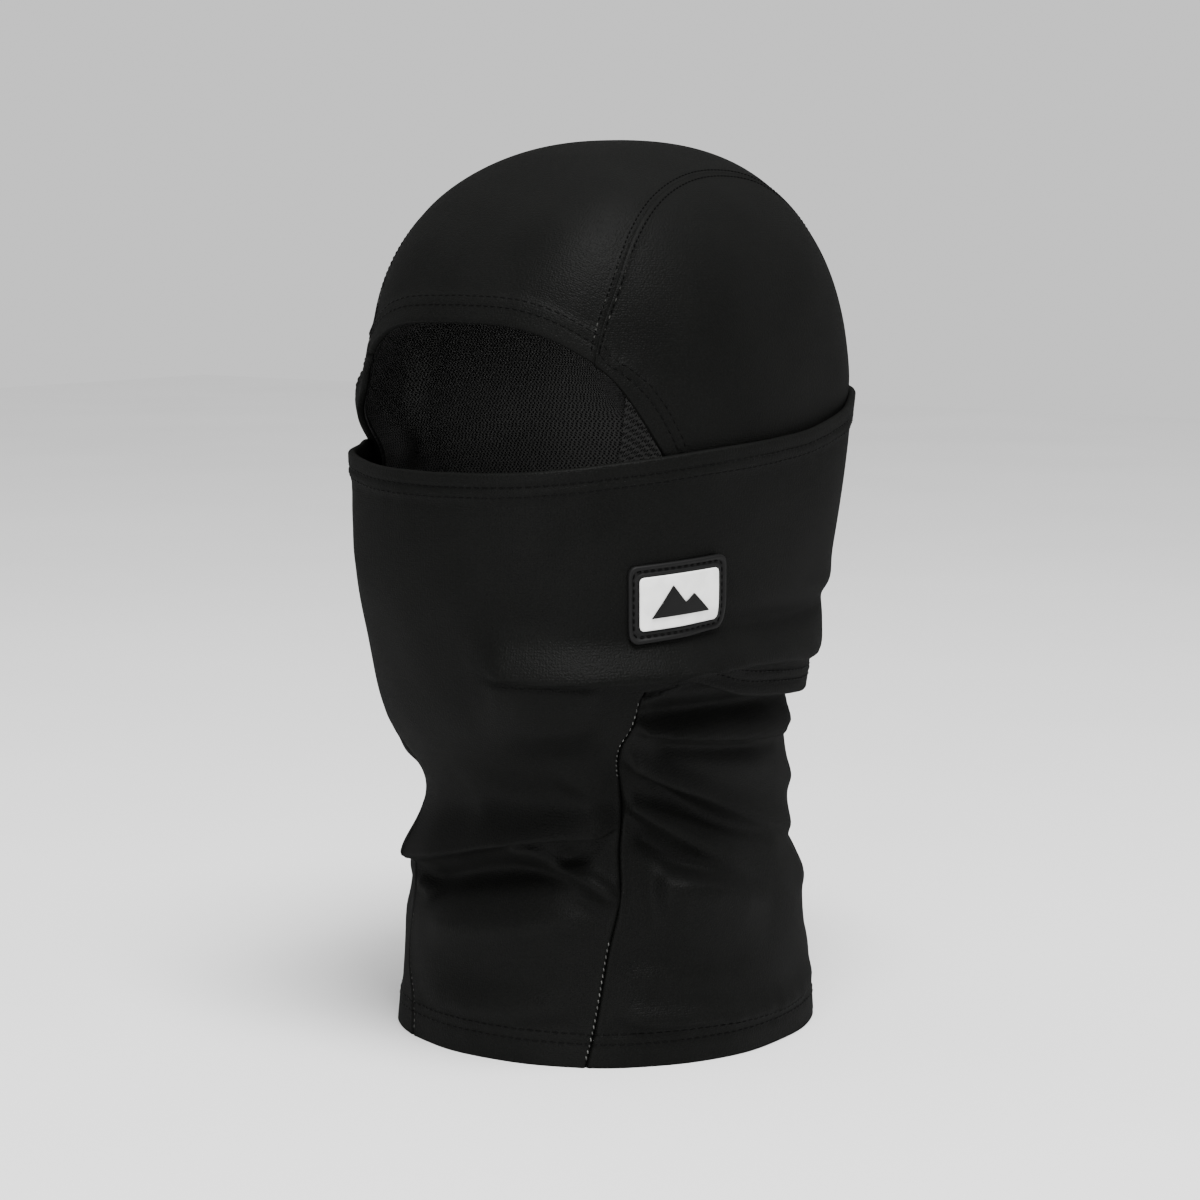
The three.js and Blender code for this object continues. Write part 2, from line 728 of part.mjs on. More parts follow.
function makeBadgeField() {
  const low = BADGE_TOP + LAYER_GAP;
  return makePlate(roundedRectangle(FIELD_WIDTH, FIELD_HEIGHT, 1.5, 2), low, low + PRINT_THICKNESS, 3);
}

// Plain mountain outline on the badge
function makeBadgePeaks() {
  const low = BADGE_TOP + 2 * LAYER_GAP + PRINT_THICKNESS;
  const w = FIELD_WIDTH;
  const h = FIELD_HEIGHT;
  const outline = [
    [-0.36 * w, -0.28 * h],
    [0, -0.28 * h],
    [0.36 * w, -0.28 * h],
    [0.16 * w, 0.1 * h],
    [0.06 * w, -0.06 * h],
    [-0.1 * w, 0.3 * h],
    [-0.23 * w, 0],
  ];
  return makePlate(outline, low, low + PRINT_THICKNESS, 3);
}

function makeBadgeThread() {
  const outline = divided(roundedRectangle(BADGE_WIDTH - 4, BADGE_HEIGHT - 4, BADGE_CORNER - 1, 4), BADGE_FACET);
  const level = BADGE_TOP + LAYER_GAP + THREAD_RADIUS;
  return makeThread(
    outline.map(([x, y]) => badgePlace(x, y, -level)),
    true,
  );
}

function addPair(group, name, geometry, finish) {
  group.add(named(`${name}_left`, geometry, finish));
  group.add(named(`${name}_right`, mirrored(geometry), finish));
}

function makeBalaclava() {
  const group = new THREE.Group();
  group.name = 'balaclava';
  group.add(named('crown_panel', makeCrownPanel(), CLOTH));
  addPair(group, 'side_panel', makeSidePanel(), CLOTH);
  group.add(named('crown_lining', makeCrownLining(), MESH_CLOTH));
  addPair(group, 'side_lining', makeSideLining(), MESH_CLOTH);
  group.add(named('mask_panel', makeMaskPanel(), CLOTH));
  group.add(named('mask_stem', makeMaskStem(), CLOTH));
  group.add(named('opening_row_inner', makeOpeningRow(OPENING_ROW_NEAR), THREAD));
  group.add(named('opening_row_outer', makeOpeningRow(OPENING_ROW_FAR), THREAD));
  addPair(group, 'crown_row_inner', makeCrownRow(-CROWN_ROW_OFFSET), THREAD);
  addPair(group, 'crown_row_outer', makeCrownRow(CROWN_ROW_SPACING - CROWN_ROW_OFFSET + 0.2), THREAD);
  group.add(named('mask_top_row_upper', makeMaskTopRow(HEM_ROW_NEAR), THREAD));
  group.add(named('mask_top_row_lower', makeMaskTopRow(HEM_ROW_FAR), THREAD));
  group.add(named('mask_hem_row_lower', makeMaskLowerRow(HEM_ROW_NEAR), THREAD));
  group.add(named('mask_hem_row_upper', makeMaskLowerRow(HEM_ROW_FAR), THREAD));
  addPair(group, 'back_seam_row', makeBackSeamRow(), THREAD);
  addPair(group, 'neck_seam_row', makeNeckSeamRow(), SEAM_THREAD);
  group.add(named('bottom_row_lower', makeBottomRow(BOTTOM_ROW_LOW), THREAD));
  group.add(named('bottom_row_upper', makeBottomRow(BOTTOM_ROW_HIGH), THREAD));
  group.add(named('badge_base', makeBadgeBase(), RUBBER));
  group.add(named('badge_field', makeBadgeField(), PRINT));
  group.add(named('badge_peaks', makeBadgePeaks(), RUBBER));
  group.add(named('badge_thread', makeBadgeThread(), THREAD));

  // Stand the finished form with its front and back extents equal about y = 0
  const box = new THREE.Box3().setFromObject(group);
  const shift = -(box.min.y + box.max.y) / 2;
  group.children.forEach((mesh) => mesh.geometry.translate(0, shift, 0));
  return group;
}

export default makeBalaclava();
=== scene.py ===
"""Hinged winter balaclava: hood, mesh lining, wrap-round mask, stitching and badge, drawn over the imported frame."""

from __future__ import annotations

import logging
import math
from dataclasses import dataclass, field
from enum import Enum

import bmesh
import bpy
import numpy as np
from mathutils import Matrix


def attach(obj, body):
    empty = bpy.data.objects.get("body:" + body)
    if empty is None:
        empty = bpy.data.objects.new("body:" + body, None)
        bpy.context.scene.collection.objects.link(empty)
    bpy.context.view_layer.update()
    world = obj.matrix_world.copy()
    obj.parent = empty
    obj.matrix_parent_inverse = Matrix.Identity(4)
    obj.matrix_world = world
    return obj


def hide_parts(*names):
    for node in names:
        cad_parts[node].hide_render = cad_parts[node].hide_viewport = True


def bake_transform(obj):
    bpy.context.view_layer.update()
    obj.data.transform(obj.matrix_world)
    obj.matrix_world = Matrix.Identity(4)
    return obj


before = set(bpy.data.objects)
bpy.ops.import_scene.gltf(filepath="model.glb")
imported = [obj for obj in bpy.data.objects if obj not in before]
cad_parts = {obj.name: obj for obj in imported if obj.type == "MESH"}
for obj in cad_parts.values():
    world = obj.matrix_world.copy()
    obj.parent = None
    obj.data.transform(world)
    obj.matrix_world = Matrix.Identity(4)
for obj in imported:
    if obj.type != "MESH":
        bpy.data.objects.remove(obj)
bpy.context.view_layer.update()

log = logging.getLogger("balaclava")

MM = 0.001
DEGREE_SPAN = 1.27
Array = np.ndarray


class Body(Enum):
    """The two bodies of the frame."""

    HOOD = "hood"
    MASK = "mask"


class Edge(Enum):
    """Sides of a cloth grid: first and last column, first and last row."""

    START = "start"
    END = "end"
    FOOT = "foot"
    TOP = "top"


def smooth(low: float, high: float, value: Array) -> Array:
    """Rise from 0 at low to 1 at high with level ends, 3t^2 - 2t^3.

    Args:
        low: where the rise starts.
        high: where it ends.
        value: places to read.

    Returns:
        The share at each place.
    """
    t = np.clip((np.asarray(value, float) - low) / (high - low), 0.0, 1.0)
    return t * t * (3.0 - 2.0 * t)


def unit(vectors: Array) -> Array:
    """Vectors scaled to length one along their last axis."""
    return vectors / np.maximum(np.linalg.norm(vectors, axis=-1, keepdims=True), 1e-12)


@dataclass(frozen=True)
class Stations:
    """A smooth curve through (position, value) stations: a cubic between each pair, at its neighbours' mean slope."""

    rows: tuple[tuple[float, float], ...]
    level_end: bool = False

    def __call__(self, position: Array) -> Array:
        """Value of the curve.

        Args:
            position: places to read, held to the ends.

        Returns:
            The value at each place.
        """
        x = np.array([r[0] for r in self.rows], float)
        y = np.array([r[1] for r in self.rows], float)
        slope = np.empty_like(x)
        slope[1:-1] = (y[2:] - y[:-2]) / (x[2:] - x[:-2])
        slope[0] = (y[1] - y[0]) / (x[1] - x[0])
        slope[-1] = 0.0 if self.level_end else (y[-1] - y[-2]) / (x[-1] - x[-2])
        p = np.clip(np.asarray(position, float), x[0], x[-1])
        i = np.clip(np.searchsorted(x, p, side="right") - 1, 0, len(x) - 2)
        span = x[i + 1] - x[i]
        t = (p - x[i]) / span
        return (
            (2 * t**3 - 3 * t**2 + 1) * y[i]
            + (t**3 - 2 * t**2 + t) * span * slope[i]
            + (-2 * t**3 + 3 * t**2) * y[i + 1]
            + (t**3 - t**2) * span * slope[i + 1]
        )


@dataclass(frozen=True)
class HeadForm:
    """The filled-out shape the cloth lies on, in millimetres.

    Below the brow each level section is a rounded oval of power plan_power; above it a dome of power crown_power.
    """

    half_width: float = 79.3
    half_depth: float = 98.4
    brow: float = 224.0
    rise: float = 95.0
    plan_power: float = 2.2
    crown_power: float = 2.35
    arch_passage: float = 0.03
    middle_y: float = -0.74
    brow_y: float = 1.0
    heights: tuple[float, ...] = (0.0, 0.107, 0.25, 0.4, 0.51, 0.607, 0.737, 0.884, 1.0)
    widths: tuple[float, ...] = (0.908, 0.889, 0.852, 0.777, 0.852, 0.908, 0.957, 0.991, 1.0)
    depths: tuple[float, ...] = (0.758, 0.744, 0.713, 0.675, 0.783, 0.867, 0.937, 0.985, 1.0)
    centres: tuple[float, ...] = (1.5, 1.0, 0.0, 0.5, -7.0, -5.4, -4.8, -1.0, 1.0)

    def _station(self, values: tuple[float, ...], scale: float, z: Array) -> Array:
        """One size of the level section at each height."""
        rows = tuple((h * self.brow, v * scale) for h, v in zip(self.heights, values))
        return Stations(rows, level_end=True)(z)

    def section(self, z: Array, depth: Array) -> tuple[Array, Array, Array]:
        """Level section.

        Args:
            z: heights.
            depth: how far inside the outer form.

        Returns:
            Half-width, half-depth and centre Y.
        """
        a = self._station(self.widths, self.half_width, z) - depth
        b = self._station(self.depths, self.half_depth, z) - depth
        return a, b, self._station(self.centres, 1.0, z) + self.middle_y

    def wall(self, z: Array, angle: Array, depth: Array) -> Array:
        """Points on the form below the brow: x = a sin^(2/p), y = c - b cos^(2/p), with signs kept.

        Args:
            z: heights.
            angle: angles from the front in radians, left side positive.
            depth: how far inside the outer form.

        Returns:
            Points, one per height and angle.
        """
        z, angle, depth = np.broadcast_arrays(z, angle, depth)
        a, b, c = self.section(z, depth)
        s, k, q = np.sin(angle), np.cos(angle), 2.0 / self.plan_power
        x = a * np.sign(s) * np.abs(s) ** q
        y = c - b * np.sign(k) * np.abs(k) ** q
        return np.stack([x, y, z.astype(float)], -1)

    def angle_of(self, x: Array, z: Array, depth: Array) -> Array:
        """Angle from the front at which the level section is x wide."""
        a, _, _ = self.section(z, depth)
        return np.sign(x) * np.arcsin(np.clip(np.abs(x) / a, 0, 1) ** (self.plan_power / 2))

    def _measure(self, x: Array, y: Array, z: Array, depth: Array) -> Array:
        """1 on the dome and less inside it, from the dome's centre."""
        a, b, c = self.half_width - depth, self.half_depth - depth, self.rise - depth
        plan = np.abs(x / a) ** self.plan_power + np.abs(y / b) ** self.plan_power
        total = plan ** (self.crown_power / self.plan_power) + np.abs(z / c) ** self.crown_power
        return total ** (1.0 / self.crown_power)

    def arch(self, x: Array, turn: Array, depth: float) -> Array:
        """Points on the dome in the plane x; turn is 0 at the front brow and pi at the back one.

        Args:
            x: distance from the middle plane.
            turn: angle over the head.
            depth: how far inside the outer form.

        Returns:
            Points, found by halving the reach between the centre and the dome, and held to a plain oval in the middle.
        """
        x, turn = np.broadcast_arrays(np.asarray(x, float), np.asarray(turn, float))
        b, c = self.half_depth - depth, self.rise - depth
        low, high = np.zeros(x.shape), np.full(x.shape, 1.3)
        for _ in range(34):
            mid = (low + high) / 2
            inside = self._measure(x, b * mid * np.cos(turn), c * mid * np.sin(turn), depth) < 1
            low, high = np.where(inside, mid, low), np.where(inside, high, mid)
        passage = self.arch_passage * np.sin(2 * turn) ** 2 + 1e-4
        over = low - 1
        reach = 1 + over - passage * np.log1p(np.exp(np.minimum(over / passage, 60.0)))
        y = self.brow_y + self.middle_y - b * reach * np.cos(turn)
        return np.stack([x, y, self.brow + c * reach * np.sin(turn)], -1)

    def turn_at(self, x: Array, z: Array, depth: float) -> Array:
        """Turn over the dome at which the front of the arch at x has height z."""
        x, z = np.broadcast_arrays(np.asarray(x, float), np.asarray(z, float))
        low, high = np.zeros(x.shape), np.full(x.shape, math.pi / 2)
        for _ in range(34):
            mid = (low + high) / 2
            under = self.arch(x, mid, depth)[..., 2] < z
            low, high = np.where(under, mid, low), np.where(under, high, mid)
        return low

    def onto(self, points: Array, depth: Array) -> Array:
        """Points moved onto the form in line with its middle.

        Args:
            points: rough points.
            depth: how far inside the outer form.

        Returns:
            Level sections are scaled about their centre, the dome about its own.
        """
        x, y, z = points[..., 0], points[..., 1], points[..., 2]
        a, b, c = self.section(np.minimum(z, self.brow), depth)
        plan = np.abs(x / a) ** self.plan_power + np.abs((y - c) / b) ** self.plan_power
        k = np.maximum(plan, 1e-9) ** (-1.0 / self.plan_power)
        low = np.stack([x * k, c + (y - c) * k, z], -1)
        cy = self.brow_y + self.middle_y
        up = np.maximum(z - self.brow, 0.0)
        m = 1.0 / np.maximum(self._measure(x, y - cy, up, depth), 1e-9)
        high = np.stack([x * m, cy + (y - cy) * m, self.brow + up * m], -1)
        return np.where((z > self.brow)[..., None], high, low)

    @staticmethod
    def settle(points: Array) -> Array:
        """Points of the worn hood: its crown leans back a little, more at the very top."""
        moved = np.array(points, float)
        z = points[..., 2]
        moved[..., 1] += 3.6 * smooth(212, 252, z) + 3.4 * smooth(292, 318, z)
        return moved

    def outward(self, points: Array) -> Array:
        """Outward directions of the form at points on or near it, from two small steps along it."""
        base = self.onto(points, 0.0)
        side = np.stack([-(base[..., 1] - self.middle_y), base[..., 0], np.zeros(base.shape[:-1])], -1)
        along = self.onto(base + unit(side) * 0.6, 0.0) - base
        radial = base - np.array([0.0, self.middle_y, 0.0])
        over = np.stack([np.zeros(base.shape[:-1])] * 2 + [np.ones(base.shape[:-1])], -1)
        inward = -radial * np.array([1.0, 1.0, 0.0])
        rough = np.where((base[..., 2] > self.brow + 70)[..., None], unit(inward), over)
        up = self.onto(base + rough * 0.6, 0.0) - base
        normal = unit(np.cross(along, up))
        middle = np.array([0.0, self.middle_y, 0.6 * self.brow])
        flip = np.sum(normal * (base - middle), -1, keepdims=True) < 0
        return np.where(flip, -normal, normal)


FORM = HeadForm()


@dataclass(frozen=True)
class Fold:
    """A fold along a line on the cloth.

    The line runs through (angle in degrees, height in mm). Height off the form is
    lift times a bell across the line, with its own spread above and below, fading at the two ends.
    A third number at a point is the share of the lift there.
    """

    path: tuple[tuple[float, ...], ...]
    lift: float
    above: float
    below: float
    droop: float = 0.0
    fade: float = 14.0

    def bell(self, angle: Array, z: Array) -> Array:
        """Share of the fold at each place.

        Args:
            angle: degrees from the front.
            z: heights in mm.

        Returns:
            The bell times the fade at the ends, from 0 to 1.
        """
        shares = np.array([p[2] if len(p) > 2 else 1.0 for p in self.path])
        knots = np.array([p[:2] for p in self.path], float) * np.array([DEGREE_SPAN, 1.0])
        count = np.arange(len(knots), dtype=float)
        fine = np.linspace(0, len(knots) - 1, 6 * (len(knots) - 1) + 1)
        line = np.stack(
            [Stations(tuple(zip(count, knots[:, k])))(fine) for k in range(2)],
            -1,
        )
        start, step = line[:-1], np.diff(line, axis=0)
        size = np.linalg.norm(step, axis=1)
        place = np.stack([np.ravel(angle) * DEGREE_SPAN, np.ravel(z)], -1)
        reach = 3.0 * max(self.above, self.below) + 4
        near = np.all((place > line.min(0) - reach) & (place < line.max(0) + reach), axis=1)
        out = np.zeros(len(place))
        p = place[near][:, None, :] - start[None]
        t = np.clip(np.sum(p * step, -1) / size**2, 0, 1)
        away = p - t[..., None] * step
        distance = np.linalg.norm(away, axis=-1)
        best = np.argmin(distance, axis=1)
        rows = np.arange(len(best))
        d = distance[rows, best]
        side = step[best, 0] * p[rows, best, 1] - step[best, 1] * p[rows, best, 0]
        weight = np.interp((best + t[rows, best]) / 6, count, shares)
        run = np.concatenate([[0], np.cumsum(size)])[best] + t[rows, best] * size[best]
        total = size.sum()
        fade = min(self.fade, total / 2)
        ends = smooth(0, fade, run) * smooth(0, fade, total - run)
        out[near] = np.exp(-((d / np.where(side >= 0, self.above, self.below)) ** 2)) * ends * weight
        return out.reshape(np.shape(angle))


def mirror(folds: tuple[Fold, ...], shift: float, gain: float, beyond: float = 66.0) -> tuple[Fold, ...]:
    """The same folds on the other side of the head, moved and weakened a little.

    Args:
        folds: folds of the wearer's left side.
        shift: millimetres added to every height.
        gain: factor on every lift.
        beyond: only the part of each line past this angle is kept.

    Returns:
        The folds, their lines reversed so that above stays above.
    """
    kept = [(f, [p for p in f.path if p[0] >= beyond]) for f in folds]
    return tuple(
        Fold(
            tuple((-p[0] - 3.0, p[1] + shift, *p[2:]) for p in reversed(path)),
            f.lift * gain,
            f.above,
            f.below,
            f.droop * gain,
            f.fade,
        )
        for f, path in kept
        if len(path) > 1
    )


@dataclass(frozen=True)
class Folds:
    """All folds of the garment, by the cloth they belong to."""

    band: tuple[Fold, ...] = (
        Fold(
            (
                (4, 143, 0.5), (15, 141.5, 0.9), (31, 140.5), (47, 139.5), (57, 139.5), (68, 140, 0.75),
                (84, 139.5, 0.55), (100, 137.5, 0.42), (114, 136, 0.32), (128, 136.5, 0.22), (146, 138, 0.0),
            ),
            10.2, 7.4, 2.7, 2.0, 18,
        ),
        Fold(((4, 134.5, 0.6), (20, 134), (36, 133), (48, 132, 0.5)), 7.0, 5.0, 16.0, 0.0, 14),
        Fold(
            (
                (60, 151, 0.3), (76, 150.5, 0.8), (92, 150), (108, 150.5), (124, 153, 0.8), (146, 157, 0.0),
            ),
            -3.0, 5.5, 4.5, 0.0, 14,
        ),
        Fold(((100, 161, 0.0), (116, 159, 0.8), (128, 159), (150, 163, 0.0)), 1.2, 6.0, 6.0, 0.0, 10),
        Fold(((60, 198), (90, 203), (125, 212)), -1.0, 6.0, 8.0, 0.0, 30),
        Fold(((-82, 206), (-62, 205), (-40, 204)), -4.6, 9.0, 9.0, 0.0, 14),
        Fold(((-20, 150), (-32, 172), (-38, 196)), 1.3, 7.0, 9.0, 0.0, 24),
        Fold(((60, 124), (72, 125), (90, 122), (112, 120), (140, 119, 0.5), (165, 119, 0.0)), 2.2, 6.0, 9.0, 0.0, 8),
    )
    throat: tuple[Fold, ...] = (
        Fold(((6, 110), (20, 108), (34, 109), (46, 113)), -1.0, 4.0, 5.0, 0.0, 18),
        Fold(((12, 119), (28, 119), (44, 122)), 1.7, 6.0, 4.0, 0.0, 16),
        Fold(
            (
                (-60, 65, 0.5), (-48, 64.5, 0.6), (-35, 65, 0.8), (-20, 69), (-7, 73), (2, 76.5), (12, 79.5),
                (25, 82), (35, 82.5), (43, 84),
            ),
            7.4, 9.0, 2.2, 3.8, 14,
        ),
        Fold(((-40, 79, 0.4), (-20, 83), (0, 88), (20, 92), (36, 94, 0.5)), -0.6, 6.0, 5.0, 0.0, 16),
        Fold(((-34, 57, 0.7), (-19, 59.5), (-2, 65), (10, 68), (23, 70), (34, 73)), -6.6, 4.5, 8.0, 0.0, 16),
        Fold(((2, 74), (10, 72.5), (19, 70), (29, 66), (35, 62), (39, 58.5), (43, 56)), 4.8, 3.2, 3.2, 0.8, 9),
        Fold(((20, 58), (30, 56), (38, 51)), -2.0, 4.0, 5.0, 0.0, 12),
        Fold(((-66, 103), (-54, 101.5), (-42, 101)), 2.6, 7.0, 6.0, 0.0, 12),
        Fold(((-66, 88), (-52, 87), (-38, 88)), -2.4, 5.0, 6.0, 0.0, 16),
        Fold(((-62, 52), (-48, 51), (-36, 50)), -2.6, 4.0, 6.0, 0.0, 12),
        Fold(((-33, 55), (-27, 54.5), (-22, 51)), 2.4, 2.4, 3.0, 0.0, 6),
        Fold(((-26, 42, 0.6), (-10, 43), (8, 46), (26, 50), (38, 48, 0.5)), 2.8, 6.5, 6.0, 0.0, 16),
        Fold(((-20, 31), (0, 28), (22, 32)), -1.8, 7.0, 7.0, 0.0, 22),
        Fold(((-28, 18), (-6, 16), (14, 18), (34, 21)), 1.8, 6.0, 3.6, 0.0, 20),
        Fold(((-12, 98), (-2, 88), (4, 80)), 1.2, 6.0, 6.0, 0.0, 10),
        Fold(((22, 104), (30, 98), (40, 95)), 1.5, 5.0, 4.0, 0.0, 10),
    )
    neck: tuple[Fold, ...] = (
        Fold(
            (
                (46, 109, 0.8), (50, 106.5), (55, 102.5), (64, 96), (78, 87, 0.9), (94, 78.5, 0.65),
                (111, 73, 0.3), (126, 70, 0.0),
            ),
            5.0, 4.6, 2.5, 1.0, 6,
        ),
        Fold(((50, 99, 0.8), (60, 91.5), (74, 82, 0.8), (90, 74, 0.3), (104, 69, 0.0)), -3.2, 3.2, 3.4, 0.0, 8),
        Fold(
            (
                (43, 93, 0.8), (49, 87.5), (55, 82.5), (65, 75.5, 0.9), (74, 70, 0.6), (86, 63, 0.2),
                (98, 57, 0.0),
            ),
            4.8, 4.4, 2.8, 0.9, 6,
        ),
        Fold(((44, 81, 0.8), (52, 75.5), (62, 68.5, 0.7), (78, 60, 0.0)), -2.9, 3.0, 4.2, 0.0, 8),
        Fold(((50, 98), (58, 92.5), (68, 86, 0.5), (80, 79, 0.0)), 1.6, 1.9, 2.2, 0.0, 6),
        Fold(((50, 60, 0.5), (60, 60.5), (70, 58), (82, 53, 0.7), (96, 46, 0.0)), 7.0, 6.0, 12.0, 0.0, 7),
        Fold(((36, 36), (52, 37), (68, 34, 0.8), (86, 30, 0.0)), -1.8, 5.0, 5.0, 0.0, 12),
        Fold(
            (
                (36, 19), (49, 15.5), (64, 14.2), (82, 12.5), (99, 12.5), (113, 14.0, 0.7), (132, 18, 0.0),
            ),
            3.0, 5.4, 2.4, 0.0, 14,
        ),
        Fold(((100, 94, 0.0), (114, 91, 0.6), (126, 88), (150, 87, 0.7), (176, 90, 0.0)), 2.4, 6.0, 5.0, 0.4, 10),
        Fold(((98, 66, 0.0), (124, 67), (146, 70, 0.8), (170, 68, 0.0)), -2.4, 5.0, 6.0, 0.0, 10),
        Fold(((108, 52, 0.0), (124, 52, 0.7), (138, 52), (160, 56, 0.7), (186, 60, 0.0)), 2.2, 6.0, 4.5, 0.4, 12),
        Fold(((118, 38, 0.2), (142, 35), (176, 38, 0.0)), -1.6, 6.0, 7.0, 0.0, 18),
        Fold(((144, 78, 0.0), (158, 75), (174, 74), (200, 79, 0.0)), 1.8, 4.5, 4.0, 0.0, 12),
        Fold(((134, 26, 0.0), (165, 23), (196, 26, 0.0)), 1.2, 6.0, 6.0, 0.0, 18),
    )
    under_band: tuple[Fold, ...] = (
        Fold(
            (
                (51, 119, 0.6), (58, 117.5), (72, 115), (90, 112), (107, 110, 0.9), (122, 111, 0.6),
                (142, 112, 0.0),
            ),
            5.2, 4.6, 1.5, 1.6, 6,
        ),
        Fold(((56, 111), (72, 108), (91, 105), (112, 103, 0.0)), -3.0, 1.8, 3.6, 0.0, 10),
        Fold(
            (
                (46, 123, 0.4), (60, 123, 0.9), (76, 122.5), (96, 120.5), (124, 119, 0.8), (150, 119, 0.0),
            ),
            -4.6, 7.0, 3.6, 0.0, 8,
        ),
    )
    brow: tuple[Fold, ...] = (
        Fold(((-84, 228), (-62, 227), (-46, 226)), 3.6, 12.0, 11.0, 0.0, 12),
        Fold(((104, 229), (126, 228), (150, 227)), 1.3, 12.0, 9.0, 0.0, 16),
        Fold(((-84, 176), (-62, 175), (-44, 174)), -3.2, 13.0, 18.0, 0.0, 12),
        Fold(((-82, 208), (-62, 207), (-40, 206)), 1.6, 9.0, 8.0, 0.0, 14),
    )

    @staticmethod
    def _sum(folds: tuple[Fold, ...], angle: Array, z: Array) -> tuple[Array, Array]:
        """Outward lift and downward droop of a set of folds."""
        lift, droop = np.zeros(np.shape(angle)), np.zeros(np.shape(angle))
        for fold in folds:
            bell = fold.bell(angle, z)
            lift += fold.lift * bell
            droop += fold.droop * bell
        return lift, droop

    def on_mask(self, angle: Array, z: Array) -> tuple[Array, Array]:
        """Lift and droop on the mask and its stem."""
        return self._sum(self.band + mirror(self.band, 1.5, 0.8) + self.throat + self.neck[:6], angle, z)

    def on_hood(self, angle: Array, z: Array) -> tuple[Array, Array]:
        """Lift and droop on the hood: its own folds at the neck, and the band's hollows under the band."""
        sides = self.neck + self.under_band
        lift, droop = self._sum(self.throat + sides + mirror(sides, 2.5, 0.8), angle, z)
        low = 1.0 - smooth(122, 130, z)
        pressed, _ = self._sum(self.band + mirror(self.band, 1.5, 0.8), angle, z)
        filled, _ = self._sum(self.brow, angle, z)
        return lift * low + np.minimum(pressed, 0.0) * (1.0 - low) + filled, droop * low


FOLDS = Folds()


def slack(angle: Array, z: Array) -> Array:
    """Broad unevenness of worn cloth: three crossing waves of a few centimetres.

    Args:
        angle: degrees from the front.
        z: heights in mm.

    Returns:
        Millimetres off the form, within about half a millimetre.
    """
    a = np.radians(angle)
    waves = (
        0.28 * np.sin(5 * a + 0.055 * z + 0.7)
        + 0.22 * np.sin(9 * a - 0.09 * z + 2.1)
        + 0.12 * np.sin(16 * a + 0.13 * z + 4.0)
    )
    return waves * (1.0 - smooth(236, 286, z))


@dataclass(frozen=True)
class Hem:
    """A turned and double-stitched edge."""

    near: float = 4.2
    far: float = 7.9
    proud: float = 0.8
    groove: float = 0.42
    pucker: float = 0.22

    def lift(self, distance: Array, along: Array) -> Array:
        """Height of the hem off the cloth.

        Args:
            distance: from the edge, in mm.
            along: along the edge, in mm.

        Returns:
            The doubled cloth up to the far row, less a groove at each row, with soft puckers between them.
        """
        fold = self.proud * (1.0 - smooth(self.far - 0.3, self.far + 1.6, distance))
        rows = np.exp(-(((distance - self.near) / 0.48) ** 2)) + np.exp(-(((distance - self.far) / 0.48) ** 2))
        close = np.exp(-(((distance - self.far) / 6.0) ** 2))
        wave = np.sin(along / 1.9 + 1.3 * np.sin(along / 11.0)) * np.sin(along / 7.3 + 0.8)
        return fold - self.groove * rows + self.pucker * close * wave


@dataclass(frozen=True)
class SeamRidge:
    """A sewn seam: a low welt with a fine groove where the two cloths meet."""

    welt: float = 0.42
    spread: float = 2.6
    groove: float = 0.12
    width: float = 0.4
    rows: float = 1.8
    furrow: float = 0.55

    def lift(self, distance: Array) -> Array:
        """Height off the cloth at a distance from the seam, in mm."""
        d = np.abs(distance)
        stitched = self.furrow * np.exp(-(((d - self.rows) / 0.42) ** 2))
        return self.welt * np.exp(-((d / self.spread) ** 4)) - self.groove * np.exp(-((d / self.width) ** 2)) - stitched


OPENING_HEM = Hem(6.0, 9.5, 0.8, 0.62, 0.16)
MASK_HEM = Hem(4.2, 7.9, 0.9, 0.62, 0.2)
BOTTOM_HEM = Hem(8.4, 11.9, 0.6, 0.62, 0.24)
CROWN_SEAM = SeamRidge()
NECK_SEAM = SeamRidge(0.3, 1.8, 1.0, 0.55, 1.6, 0.0)


def grid_normals(points: Array) -> Array:
    """Normals of a grid of points from its two directions of step, facing away from the head's axis."""
    across = np.gradient(points, axis=1)
    upward = np.gradient(points, axis=0)
    normal = unit(np.cross(across, upward))
    away = points - np.array([0.0, FORM.middle_y, 0.5 * FORM.brow])
    sign = np.sign(np.sum(normal * away))
    return normal * (sign if sign != 0 else 1.0)


def run_length(points: Array, axis: int, backward: bool = False) -> Array:
    """Distance along a grid's rows or columns from its first or last line, in mm.

    Args:
        points: grid of points.
        axis: 0 to measure up the columns, 1 along the rows.
        backward: measure from the far side.

    Returns:
        Distances, shaped as the grid.
    """
    p = np.flip(points, axis) if backward else points
    step = np.linalg.norm(np.diff(p, axis=axis), axis=-1)
    first = np.zeros_like(np.take(step, [0], axis=axis))
    out = np.concatenate([first, np.cumsum(step, axis=axis)], axis=axis)
    return np.flip(out, axis) if backward else out


